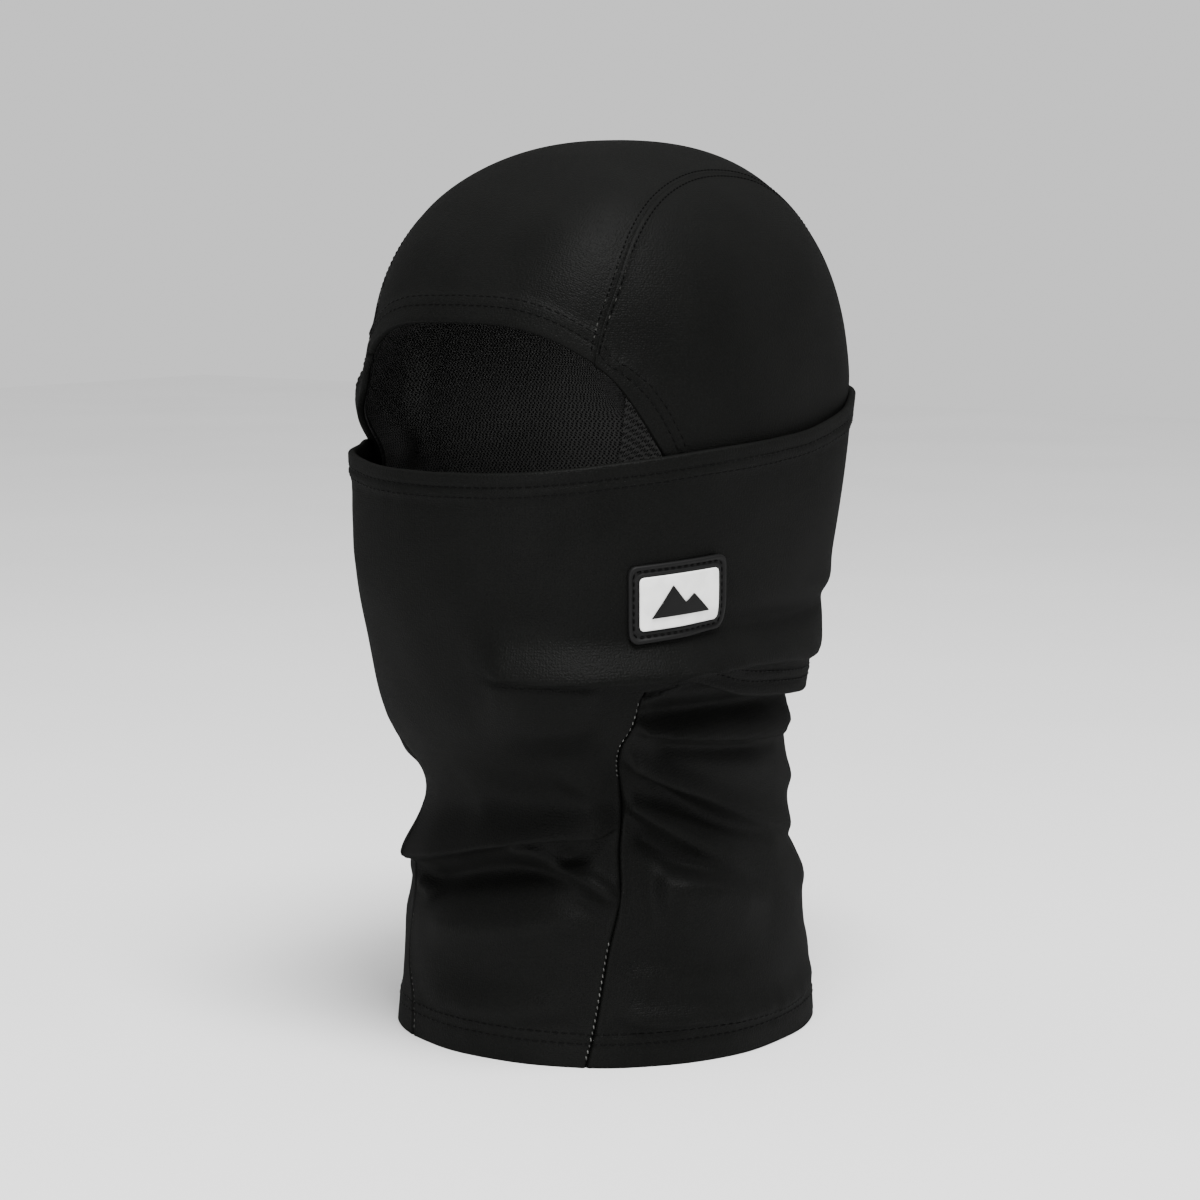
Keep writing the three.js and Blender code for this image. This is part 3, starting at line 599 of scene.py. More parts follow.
@dataclass
class Patch:
    """A grid of cloth points with the extra thickness of its hems and its pattern coordinates."""

    points: Array
    extra: Array
    pattern: Array

    def line(self, edge: Edge, distance: float, offset: float = 0.0) -> tuple[Array, Array]:
        """Line on the finished cloth at a distance from one edge.

        Args:
            edge: which side of the grid.
            distance: from that edge, in mm.
            offset: lift off the cloth, in mm.

        Returns:
            Points of the line and the cloth's normals there.
        """
        axis = 0 if edge in (Edge.FOOT, Edge.TOP) else 1
        back = edge in (Edge.TOP, Edge.END)
        reach = run_length(self.points, axis, back)
        normals = grid_normals(self.points)
        p, n = self.points, normals
        if back:
            reach, p, n = np.flip(reach, axis), np.flip(p, axis), np.flip(n, axis)
        if axis == 1:
            reach, p, n = reach.T, p.transpose(1, 0, 2), n.transpose(1, 0, 2)
        i = np.clip(np.sum(reach < distance, axis=0) - 1, 0, reach.shape[0] - 2)
        cols = np.arange(reach.shape[1])
        t = (distance - reach[i, cols]) / np.maximum(reach[i + 1, cols] - reach[i, cols], 1e-9)
        t = np.clip(t, 0, 1)[:, None]
        line = p[i, cols] * (1 - t) + p[i + 1, cols] * t
        normal = unit(n[i, cols] * (1 - t) + n[i + 1, cols] * t)
        return line + normal * offset, normal


def grid_faces(rows: int, columns: int) -> Array:
    """Four-sided faces of a grid of points, row by row.

    Args:
        rows: rows of points.
        columns: points in a row.

    Returns:
        The four vertex indices of each face.
    """
    r, c = np.meshgrid(np.arange(rows - 1), np.arange(columns - 1), indexing="ij")
    a = (r * columns + c).ravel()
    return np.stack([a, a + 1, a + columns + 1, a + columns], -1)


def new_object(name: str, points: Array, faces: Array, pattern: Array | None = None) -> bpy.types.Object:
    """Mesh object from arrays, in metres, smooth-shaded.

    Args:
        name: the piece's name.
        points: vertices in mm.
        faces: vertex indices, three or four to a face.
        pattern: pattern coordinates of each vertex in mm, or None.

    Returns:
        The object, linked to the scene.
    """
    mesh = bpy.data.meshes.new(name)
    mesh.vertices.add(len(points))
    mesh.vertices.foreach_set("co", (np.asarray(points, float) * MM).ravel())
    count, sides = faces.shape
    mesh.loops.add(count * sides)
    mesh.loops.foreach_set("vertex_index", faces.astype(np.int32).ravel())
    mesh.polygons.add(count)
    mesh.polygons.foreach_set("loop_start", np.arange(count, dtype=np.int32) * sides)
    mesh.polygons.foreach_set("loop_total", np.full(count, sides, np.int32))
    mesh.polygons.foreach_set("use_smooth", np.ones(count, bool))
    if pattern is not None:
        layer = mesh.uv_layers.new(name="cloth")
        layer.data.foreach_set("uv", (pattern[faces.ravel()] * MM * 10).astype(np.float32).ravel())
    mesh.update(calc_edges=True)
    mesh.validate()
    obj = bpy.data.objects.new(name, mesh)
    bpy.context.scene.collection.objects.link(obj)
    return obj


def cloth_shell(
    name: str,
    patches: list[Patch],
    thickness: float,
    bulge: float,
    rings: int = 4,
) -> bpy.types.Object:
    """Closed sheet of cloth from one or more patches that share borders.

    The outer face is the welded patches. The inner face lies a thickness inside along the vertex normals,
    and a half-round rim of the given bulge joins them along every free edge.

    Args:
        name: the piece's name.
        patches: grids of the outer face.
        thickness: of the cloth, in mm.
        bulge: how far the rim stands out past the edge, in mm.
        rings: faces across the rim.

    Returns:
        The closed mesh object.
    """
    points, faces, extra, pattern, start = [], [], [], [], 0
    for patch in patches:
        rows, columns = patch.points.shape[:2]
        points.append(patch.points.reshape(-1, 3))
        extra.append(patch.extra.ravel())
        pattern.append(patch.pattern.reshape(-1, 2))
        own = grid_faces(rows, columns)
        flat = patch.points.reshape(-1, 3)
        turned = np.cross(flat[own[:, 2]] - flat[own[:, 0]], flat[own[:, 3]] - flat[own[:, 1]])
        away = flat[own[:, 0]] - np.array([0.0, FORM.middle_y, 0.5 * FORM.brow])
        faces.append((own if np.sum(turned * away) > 0 else own[:, ::-1]) + start)
        start += rows * columns
    p, f = np.concatenate(points), np.concatenate(faces)
    e, q = np.concatenate(extra), np.concatenate(pattern)
    _, first, back = np.unique(np.round(p, 2), axis=0, return_index=True, return_inverse=True)
    p, e, q, f = p[first], e[first], q[first], back.reshape(-1)[f]
    f = f[np.all(np.sort(f, axis=1)[:, 1:] != np.sort(f, axis=1)[:, :-1], axis=1)]
    normal = np.zeros_like(p)
    face_normal = np.cross(p[f[:, 2]] - p[f[:, 0]], p[f[:, 3]] - p[f[:, 1]])
    for k in range(4):
        np.add.at(normal, f[:, k], face_normal)
    normal = unit(normal)
    wall = (thickness + e)[:, None]

    edges = np.concatenate([np.stack([f[:, k], f[:, (k + 1) % 4]], -1) for k in range(4)])
    owner = np.tile(np.arange(len(f)), 4)
    key = np.sort(edges, axis=1)
    _, index, counts = np.unique(key, axis=0, return_index=True, return_counts=True)
    free = index[counts == 1]
    rim, rim_owner = edges[free], owner[free]
    out = np.zeros_like(p)
    outward = unit(np.cross(p[rim[:, 1]] - p[rim[:, 0]], unit(face_normal[rim_owner])))
    np.add.at(out, rim[:, 0], outward)
    np.add.at(out, rim[:, 1], outward)
    used = np.unique(rim)
    slot = np.full(len(p), -1)
    slot[used] = np.arange(len(used))
    n_use, o_use, p_use, w_use = normal[used], unit(out[used]), p[used], wall[used]

    count = len(p)
    vertices, coordinates = [p, p - normal * wall], [q, q]
    all_faces = [f, f[:, ::-1] + count]
    levels = [used]
    for ring in range(1, rings):
        phi = math.pi * ring / rings
        across = (math.cos(phi) - 1) / 2 * w_use
        vertices.append(p_use + n_use * across + o_use * bulge * math.sin(phi))
        coordinates.append(q[used])
        levels.append(2 * count + (ring - 1) * len(used) + np.arange(len(used)))
    levels.append(used + count)
    a, b = slot[rim[:, 0]], slot[rim[:, 1]]
    for low, high in zip(levels[:-1], levels[1:]):
        all_faces.append(np.stack([low[b], low[a], high[a], high[b]], -1))
    return new_object(name, np.concatenate(vertices), np.concatenate(all_faces), np.concatenate(coordinates))


@dataclass(frozen=True)
class Stitch:
    """One visible stitch: a plump little bar, sunk into its groove."""

    length: float = 2.1
    pitch: float = 3.0
    width: float = 0.34
    height: float = 0.26
    lean: float = 0.0

    def bars(self, line: Array, normal: Array, ring: bool = False) -> tuple[Array, Array]:
        """Stitches along a line.

        Args:
            line: points of the line in mm.
            normal: cloth normals there.
            ring: True if the line closes on itself.

        Returns:
            Vertices and four-sided faces: each bar is an oval of revolution, radius sin(v), along cos(v).
        """
        if ring:
            line, normal = np.vstack([line, line[:1]]), np.vstack([normal, normal[:1]])
        step = np.linalg.norm(np.diff(line, axis=0), axis=1)
        run = np.concatenate([[0], np.cumsum(step)])
        count = max(2, int(round((run[-1] - 0.2) / self.pitch)))
        at = (np.arange(count) + 0.5) * run[-1] / count
        centre = np.stack([np.interp(at, run, line[:, k]) for k in range(3)], -1)
        n = unit(np.stack([np.interp(at, run, normal[:, k]) for k in range(3)], -1))
        ahead = np.stack([np.interp(at + 0.4, run, line[:, k]) for k in range(3)], -1)
        behind = np.stack([np.interp(at - 0.4, run, line[:, k]) for k in range(3)], -1)
        t = unit(ahead - behind)
        t = unit(t - n * np.sum(t * n, -1, keepdims=True))
        s = np.cross(n, t)
        t = unit(t + s * self.lean)
        s = np.cross(n, t)
        v = np.linspace(0.0, math.pi, 5)
        u = np.linspace(0.0, 2 * math.pi, 6, endpoint=False)
        along = (-np.cos(v) * self.length / 2)[:, None] + 0 * u
        reach = np.maximum(np.sin(v), 0.22)[:, None]
        up = reach * np.sin(u)[None] * self.height
        side = reach * np.cos(u)[None] * self.width
        shape = np.stack([along, side, up], -1).reshape(-1, 3)
        basis = np.stack([t, s, n], 1)
        points = centre[:, None] + np.einsum("vk,ckx->cvx", shape, basis)
        r, c = np.meshgrid(np.arange(4), np.arange(6), indexing="ij")
        a = (r * 6 + c).ravel()
        b = (r * 6 + (c + 1) % 6).ravel()
        body = np.stack([a, b, b + 6, a + 6], -1)
        caps = np.array([[0, 5, 4, 3], [0, 3, 2, 1], [24, 25, 26, 27], [24, 27, 28, 29]])
        one = np.concatenate([body, caps])
        faces = (one[None] + (np.arange(count) * 30)[:, None, None]).reshape(-1, 4)
        return points.reshape(-1, 3), faces


def stitch_row(name: str, parts: list[tuple[Array, Array]]) -> bpy.types.Object:
    """One object from the stitches of one or more lines.

    Args:
        name: the piece's name.
        parts: vertices and faces of each line's stitches.

    Returns:
        The object.
    """
    offsets = np.cumsum([0] + [len(p) for p, _ in parts[:-1]])
    points = np.concatenate([p for p, _ in parts])
    faces = np.concatenate([f + o for (_, f), o in zip(parts, offsets)])
    return new_object(name, points, faces)


class NodeSheet:
    """A material's node tree with short calls to add and join nodes."""

    def __init__(self, name: str) -> None:
        """Start an empty material of that name with its shader and output."""
        self.material = bpy.data.materials.new(name)
        self.material.use_nodes = True
        self.tree = self.material.node_tree
        self.tree.nodes.clear()
        self.output = self.tree.nodes.new("ShaderNodeOutputMaterial")
        self.shader = self.tree.nodes.new("ShaderNodeBsdfPrincipled")
        self.join(self.shader, "BSDF", self.output, "Surface")

    def add(self, kind: str, **settings: object) -> bpy.types.Node:
        """A new node with some of its settings."""
        node = self.tree.nodes.new(kind)
        for key, value in settings.items():
            setattr(node, key, value)
        return node

    def join(self, source: bpy.types.Node, out: str | int, target: bpy.types.Node, into: str | int) -> None:
        """Link one node's output to another's input."""
        self.tree.links.new(source.outputs[out], target.inputs[into])

    def maths(self, operation: str, *inputs: object) -> bpy.types.Node:
        """A Math node; each input is a number or a (node, output) pair."""
        node = self.add("ShaderNodeMath", operation=operation)
        for k, value in enumerate(inputs):
            if isinstance(value, tuple):
                self.join(value[0], value[1], node, k)
            else:
                node.inputs[k].default_value = value
        return node

    def noise(self, scale: float, detail: float, source: tuple[bpy.types.Node, str]) -> bpy.types.Node:
        """A Noise Texture on given coordinates."""
        node = self.add("ShaderNodeTexNoise")
        node.inputs["Scale"].default_value = scale
        node.inputs["Detail"].default_value = detail
        self.join(source[0], source[1], node, "Vector")
        return node

    def ramp(self, source: tuple[bpy.types.Node, str], stops: list[tuple[float, tuple[float, ...]]]) -> bpy.types.Node:
        """A Color Ramp over a value."""
        node = self.add("ShaderNodeValToRGB")
        band = node.color_ramp
        while len(band.elements) < len(stops):
            band.elements.new(0.5)
        for element, (place, colour) in zip(band.elements, stops):
            element.position = place
            element.color = (*colour, 1.0)
        self.join(source[0], source[1], node, "Fac")
        return node

    def bump(
        self, strength: float, distance: float, source: tuple[bpy.types.Node, str], under: bpy.types.Node | None = None
    ) -> bpy.types.Node:
        """A Bump node over a height, on top of another one."""
        node = self.add("ShaderNodeBump")
        node.inputs["Strength"].default_value = strength
        node.inputs["Distance"].default_value = distance
        self.join(source[0], source[1], node, "Height")
        if under is not None:
            self.join(under, "Normal", node, "Normal")
        return node


@dataclass(frozen=True)
class BrushedKnit:
    """Close-knit stretch cloth with a brushed face: fine grain, faint courses, soft sheen."""

    name: str = "brushed_knit_black"
    dark: tuple[float, float, float] = (0.0019, 0.0020, 0.0018)
    light: tuple[float, float, float] = (0.0038, 0.0039, 0.0036)
    roughness: float = 0.43
    sheen: float = 0.0

    def make(self) -> bpy.types.Material:
        """The material: grain and courses in pattern coordinates, shade in object coordinates."""
        sheet = NodeSheet(self.name)
        place = sheet.add("ShaderNodeTexCoord")
        grain = sheet.noise(1500.0, 3.0, (place, "Object"))
        cloud = sheet.noise(38.0, 3.0, (place, "Object"))
        split = sheet.add("ShaderNodeSeparateXYZ")
        sheet.join(place, "UV", split, 0)
        course = sheet.maths("SINE", (sheet.maths("MULTIPLY", (split, "Y"), 2 * math.pi / 0.0075), 0))
        wale = sheet.maths("SINE", (sheet.maths("MULTIPLY", (split, "X"), 2 * math.pi / 0.0095), 0))
        knit = sheet.maths("ADD", (course, 0), (wale, 0))
        fine = sheet.maths("MULTIPLY", (grain, "Fac"), 0.62)
        broad = sheet.maths("MULTIPLY", (cloud, "Fac"), 0.38)
        mix = sheet.maths("ADD", (fine, 0), (broad, 0))
        shade = sheet.ramp((mix, 0), [(0.34, self.dark), (0.66, self.light)])
        sheet.join(shade, "Color", sheet.shader, "Base Color")
        facing = sheet.add("ShaderNodeLayerWeight")
        facing.inputs["Blend"].default_value = 0.5
        nap = sheet.maths("MULTIPLY", (sheet.maths("POWER", (facing, "Facing"), 1.2), 0), 1.0 - self.roughness)
        rough = sheet.maths("ADD", (sheet.maths("MULTIPLY", (grain, "Fac"), 0.14), 0), self.roughness - 0.07)
        sheet.join(sheet.maths("ADD", (rough, 0), (nap, 0)), 0, sheet.shader, "Roughness")
        low = sheet.bump(0.10, 0.00012, (knit, 0))
        top = sheet.bump(0.85, 0.00034, (grain, "Fac"), low)
        sheet.join(top, "Normal", sheet.shader, "Normal")
        sheet.shader.inputs["Sheen Weight"].default_value = self.sheen
        sheet.shader.inputs["Sheen Roughness"].default_value = 0.45
        sheet.shader.inputs["Specular IOR Level"].default_value = 0.045
        return sheet.material


@dataclass(frozen=True)
class OpenMesh:
    """Knitted mesh lining: rows of small round holes, staggered."""

    name: str = "mesh_lining_black"
    yarn: tuple[float, float, float] = (0.088, 0.088, 0.086)
    hole: tuple[float, float, float] = (0.008, 0.008, 0.008)
    pitch: float = 1.8

    def make(self) -> bpy.types.Material:
        """The material: holes where the product of two crossing waves is high, in pattern coordinates."""
        sheet = NodeSheet(self.name)
        place = sheet.add("ShaderNodeTexCoord")
        split = sheet.add("ShaderNodeSeparateXYZ")
        sheet.join(place, "UV", split, 0)
        turn = 2 * math.pi / (self.pitch * 0.01)
        rise = sheet.maths("MULTIPLY", (split, "Y"), turn)
        slant = sheet.maths("MULTIPLY", (sheet.maths("SINE", (sheet.maths("MULTIPLY", (rise, 0), 0.5), 0)), 0), 1.2)
        one = sheet.maths("SINE", (sheet.maths("ADD", (sheet.maths("MULTIPLY", (split, "X"), turn), 0), (slant, 0)), 0))
        two = sheet.maths("SINE", (rise, 0))
        product = sheet.maths("MULTIPLY", (one, 0), (two, 0))
        grain = sheet.noise(900.0, 2.0, (place, "Object"))
        fine = sheet.maths("MULTIPLY", (grain, "Fac"), 0.35)
        holes = sheet.maths("MAXIMUM", (product, 0), 0.0)
        height = sheet.maths("SUBTRACT", (fine, 0), (holes, 0))
        shade = sheet.ramp((product, 0), [(0.10, self.yarn), (0.52, self.hole)])
        nearest = sheet.maths("MINIMUM", (split, "X"), (split, "Y"))
        inner = sheet.maths("MULTIPLY", (nearest, 0), 10.0)
        selvage = sheet.ramp((inner, 0), [(0.20, (0.0, 0.0, 0.0)), (0.30, (1.0, 1.0, 1.0))])
        bound = sheet.add("ShaderNodeMix", data_type="RGBA")
        sheet.join(selvage, "Color", bound, "Factor")
        bound.inputs["A"].default_value = (0.004, 0.004, 0.004, 1.0)
        sheet.join(shade, "Color", bound, "B")
        sheet.join(bound, "Result", sheet.shader, "Base Color")
        sheet.shader.inputs["Roughness"].default_value = 0.82
        sheet.shader.inputs["Specular IOR Level"].default_value = 0.3
        sheet.join(sheet.bump(0.8, 0.0005, (height, 0)), "Normal", sheet.shader, "Normal")
        return sheet.material


@dataclass(frozen=True)
class SpunThread:
    """Sewing thread: two plies show as a fine slanting twist."""

    name: str
    colour: tuple[float, float, float]
    # Share of pale flecks: real two-tone thread on the grey rows, painted glints (painted highlights) on the black
    # crown rows.
    fleck_and_glint_share: float = 0.97
    roughness: float = 0.62
    gloss: float = 0.05
    fleck_and_glint_colour: tuple[float, float, float] = (0.10, 0.10, 0.095)
    # Height in metres above which the painted glints fade out.
    fleck_and_glint_top: float = 9.0

    def make(self) -> bpy.types.Material:
        """The material: noise along the twist shades the ply, and broader noise adds pale flecks: the grey thread's own
        two-tone colour, and on the black crown rows painted glints (painted highlights), faded out above a set height.
        """
        sheet = NodeSheet(self.name)
        place = sheet.add("ShaderNodeTexCoord")
        twist = sheet.noise(2600.0, 2.0, (place, "Object"))
        low = tuple(0.55 * c for c in self.colour)
        shade = sheet.ramp((twist, "Fac"), [(0.35, low), (0.62, self.colour)])
        # Pale flecks from broad noise: the grey thread's own colour, painted glints (painted highlights) on the black
        # crown rows.
        fleck_and_glint_noise = sheet.noise(330.0, 0.0, (place, "Object"))
        stops = [(self.fleck_and_glint_share, (0.0, 0.0, 0.0)), (min(self.fleck_and_glint_share + 0.03, 1.0), (1.0, 1.0, 1.0))]
        fleck_and_glint_spots = sheet.ramp((fleck_and_glint_noise, "Fac"), stops)
        thread_with_flecks_and_glints = sheet.add("ShaderNodeMix", data_type="RGBA")
        split = sheet.add("ShaderNodeSeparateXYZ")
        sheet.join(place, "Object", split, 0)
        # Painted glints only low down: they fade out above the set height.
        above = sheet.maths("SUBTRACT", self.fleck_and_glint_top, (split, "Z"))
        rise = sheet.add("ShaderNodeClamp")
        sheet.join(sheet.maths("MULTIPLY_ADD", (above, 0), 25.0, 0.30), 0, rise, 0)
        sheet.join(sheet.maths("MULTIPLY", (fleck_and_glint_spots, "Color"), (rise, 0)), 0, thread_with_flecks_and_glints, "Factor")
        sheet.join(shade, "Color", thread_with_flecks_and_glints, "A")
        thread_with_flecks_and_glints.inputs["B"].default_value = (*self.fleck_and_glint_colour, 1.0)
        sheet.join(thread_with_flecks_and_glints, "Result", sheet.shader, "Base Color")
        sheet.shader.inputs["Roughness"].default_value = self.roughness
        sheet.shader.inputs["Specular IOR Level"].default_value = self.gloss
        sheet.join(sheet.bump(0.5, 0.0001, (twist, "Fac")), "Normal", sheet.shader, "Normal")
        return sheet.material


@dataclass(frozen=True)
class MouldedRubber:
    """Soft moulded rubber or raised print: even colour with a fine sparked grain."""

    name: str
    colour: tuple[float, float, float]
    roughness: float
    grain: float = 0.18
    gloss: float = 0.3

    def make(self) -> bpy.types.Material:
        """The material: fine grain in bump and roughness, broad faint marks in colour."""
        sheet = NodeSheet(self.name)
        place = sheet.add("ShaderNodeTexCoord")
        fine = sheet.noise(2200.0, 2.0, (place, "Object"))
        broad = sheet.noise(160.0, 3.0, (place, "Object"))
        low = tuple(0.86 * c for c in self.colour)
        shade = sheet.ramp((broad, "Fac"), [(0.3, low), (0.6, self.colour)])
        sheet.join(shade, "Color", sheet.shader, "Base Color")
        rough = sheet.maths("ADD", (sheet.maths("MULTIPLY", (fine, "Fac"), 0.16), 0), self.roughness - 0.08)
        sheet.join(rough, 0, sheet.shader, "Roughness")
        sheet.shader.inputs["Specular IOR Level"].default_value = self.gloss
        sheet.join(sheet.bump(self.grain, 0.0001, (fine, "Fac")), "Normal", sheet.shader, "Normal")
        return sheet.material


class Finish(Enum):
    """Finishes of the garment."""

    KNIT = BrushedKnit()
    MESH = OpenMesh()
    BLACK_THREAD = SpunThread("thread_black", (0.0022, 0.0022, 0.0021))
    # Black thread with painted glints: pale flecks stand in for highlights on the stitches, low on the crown only.
    PAINTED_GLINT_THREAD = SpunThread(
        "thread_black_painted_glints",
        (0.0010, 0.0010, 0.0010),
        0.55,
        gloss=0.02,
        fleck_and_glint_colour=(0.055, 0.055, 0.052),
        fleck_and_glint_top=0.268,
    )
    GREY_THREAD = SpunThread("thread_grey", (0.075, 0.075, 0.072), 0.50)
    RUBBER = MouldedRubber("rubber_black", (0.0040, 0.0040, 0.0040), 0.55, 0.18, 0.12)
    PRINT = MouldedRubber("print_white", (0.86, 0.86, 0.84), 0.45, 0.08, 0.3)


class Wardrobe:
    """Makes each finish once and dresses pieces with it."""

    def __init__(self) -> None:
        """Start with no finish made."""
        self._made: dict[Finish, bpy.types.Material] = {}

    def dress(self, obj: bpy.types.Object, finish: Finish, slot: str) -> bpy.types.Object:
        """Give a piece its finish."""
        if finish not in self._made:
            self._made[finish] = finish.value.make()
        obj.data.materials.clear()
        obj.data.materials.append(self._made[finish])
        log.info("%s: %d faces, %s", obj.name, len(obj.data.polygons), finish.name.lower())
        return obj

    def fit(self, obj: bpy.types.Object, finish: Finish, slot: str, node: str, body: Body) -> None:
        """Dress a rigid piece, put it on its body and let it stand for its CAD node.

        Args:
            obj: the piece.
            finish: what it is made of.
            slot: not used.
            node: the CAD node it replaces.
            body: the body it rides on.
        """
        self.dress(obj, finish, slot)
        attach(obj, body.value)
        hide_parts(node)


def raised(points: Array, lift: Array, droop: Array | float = 0.0) -> Array:
    """Points moved off the form along its outward direction, and down by the droop."""
    moved = points + FORM.outward(points) * np.asarray(lift)[..., None]
    moved[..., 2] -= droop
    return FORM.settle(moved)


@dataclass
class Pattern:
    """Where the cloth is cut: edges and seams as curves over the form."""

    gap: float = 0.07
    ease: float = 3.0
    brow: float = FORM.brow
    stem_top: float = 131.26
    strip_front: float = 48.3
    strip_top: float = 44.0
    strip_nape: float = 46.0
    strip_hem: float = 57.0
    opening: tuple[tuple[float, float], ...] = (
        (0.0, 254.6),
        (17.5, 254.1),
        (27.2, 252.5),
        (37.6, 248.6),
        (48.3, 241.7),
        (54.9, 235.1),
        (59.2, 227.4),
        (62.7, 218.0),
        (65.2, 206.1),
        (66.0, 192.6),
        (65.0, 172.5),
        (62.5, 150.1),
        (59.3, 131.3),
    )
    upper: Stations = field(default_factory=lambda: Stations(
        ((0, 204.3), (22, 205.3), (48, 208.8), (70, 212.0), (92, 214.7), (116, 220.8), (135, 226.2), (180, 228.5))))
    lower: Stations = field(default_factory=lambda: Stations(
        ((0, 131.3), (54, 131.3), (66, 134.0), (84, 127.3), (110, 123.2), (145, 121.0), (180, 120.5))))
    stem: Stations = field(default_factory=lambda: Stations(
        ((0, 38.5), (16, 41.2), (40, 43.8), (58, 45.8), (76, 43.2),
         (92, 43.6), (102, 46.2), (111, 50.2), (119, 54.8), (131.26, 58.5))))

    stem_right: Stations = field(default_factory=lambda: Stations(
        ((0, 36.8), (9, 36.8), (17, 39), (25, 42.2), (33, 43), (42, 41), (52, 38.8), (60, 39.8),
         (70, 42.6), (80, 44), (92, 44), (102, 46.2), (111, 50.2), (119, 54.8), (131.26, 58.5))))

    def stem_half(self, z: Array, sign: float) -> Array:
        """Half-width of the stem on one side of the throat."""
        return self.stem(z) if sign > 0 else self.stem_right(z)

    def strip_half(self, turn: Array) -> Array:
        """Half-width of the crown strip over the dome."""
        share = turn / math.pi
        front = 1.04 * self.strip_front + (self.strip_top - 1.04 * self.strip_front) * smooth(0.14, 0.5, share)
        back = self.strip_top + (self.strip_nape - self.strip_top) * smooth(0.5, 1, share)
        return np.where(share < 0.5, front, back)

    def seam_x(self, turn: Array, share: Array) -> Array:
        """Distance of the crown seam from the middle plane; share runs from brow to nape."""
        return self.strip_front + (self.strip_half(turn) - self.strip_front) * smooth(0, 0.15, share)

    def back_half(self, z: Array) -> Array:
        """Half-width of the crown strip down the back."""
        return Stations(((0, self.strip_hem), (0.4 * self.brow, self.strip_nape + 1), (self.brow, self.strip_nape)))(z)

    def opening_height(self, x: Array) -> Array:
        """Height of the opening's edge on the crown strip."""
        return Stations(self.opening[:6])(np.abs(x))

    def opening_half(self, z: Array) -> Array:
        """Half-width of the opening on the side panels."""
        return Stations(tuple((h, x) for x, h in reversed(self.opening[4:])))(z)

    def lower_edge(self, angle: Array) -> Array:
        """Lower edge of the mask at an angle in degrees, level where the stem hangs from it."""
        edge = self.lower(np.abs(angle))
        return np.where(np.abs(angle) < 58, np.maximum(edge, self.stem_top), edge)

    def hood_depth(self, z: Array, angle: Array, sign: float = 1.0) -> Array:
        """How far the hood lies inside the mask's face.

        Full under the band; it comes out at the neck, and at the neck seam it is flush with the stem.
        """
        under = smooth(94, 112, z)
        seam = np.degrees(FORM.angle_of(self.stem_half(z, sign), np.minimum(z, self.brow), 0.0))
        beside = smooth(0, 12, np.abs(angle) - seam)
        return self.ease * np.maximum(under * beside, smooth(127, 132, z))


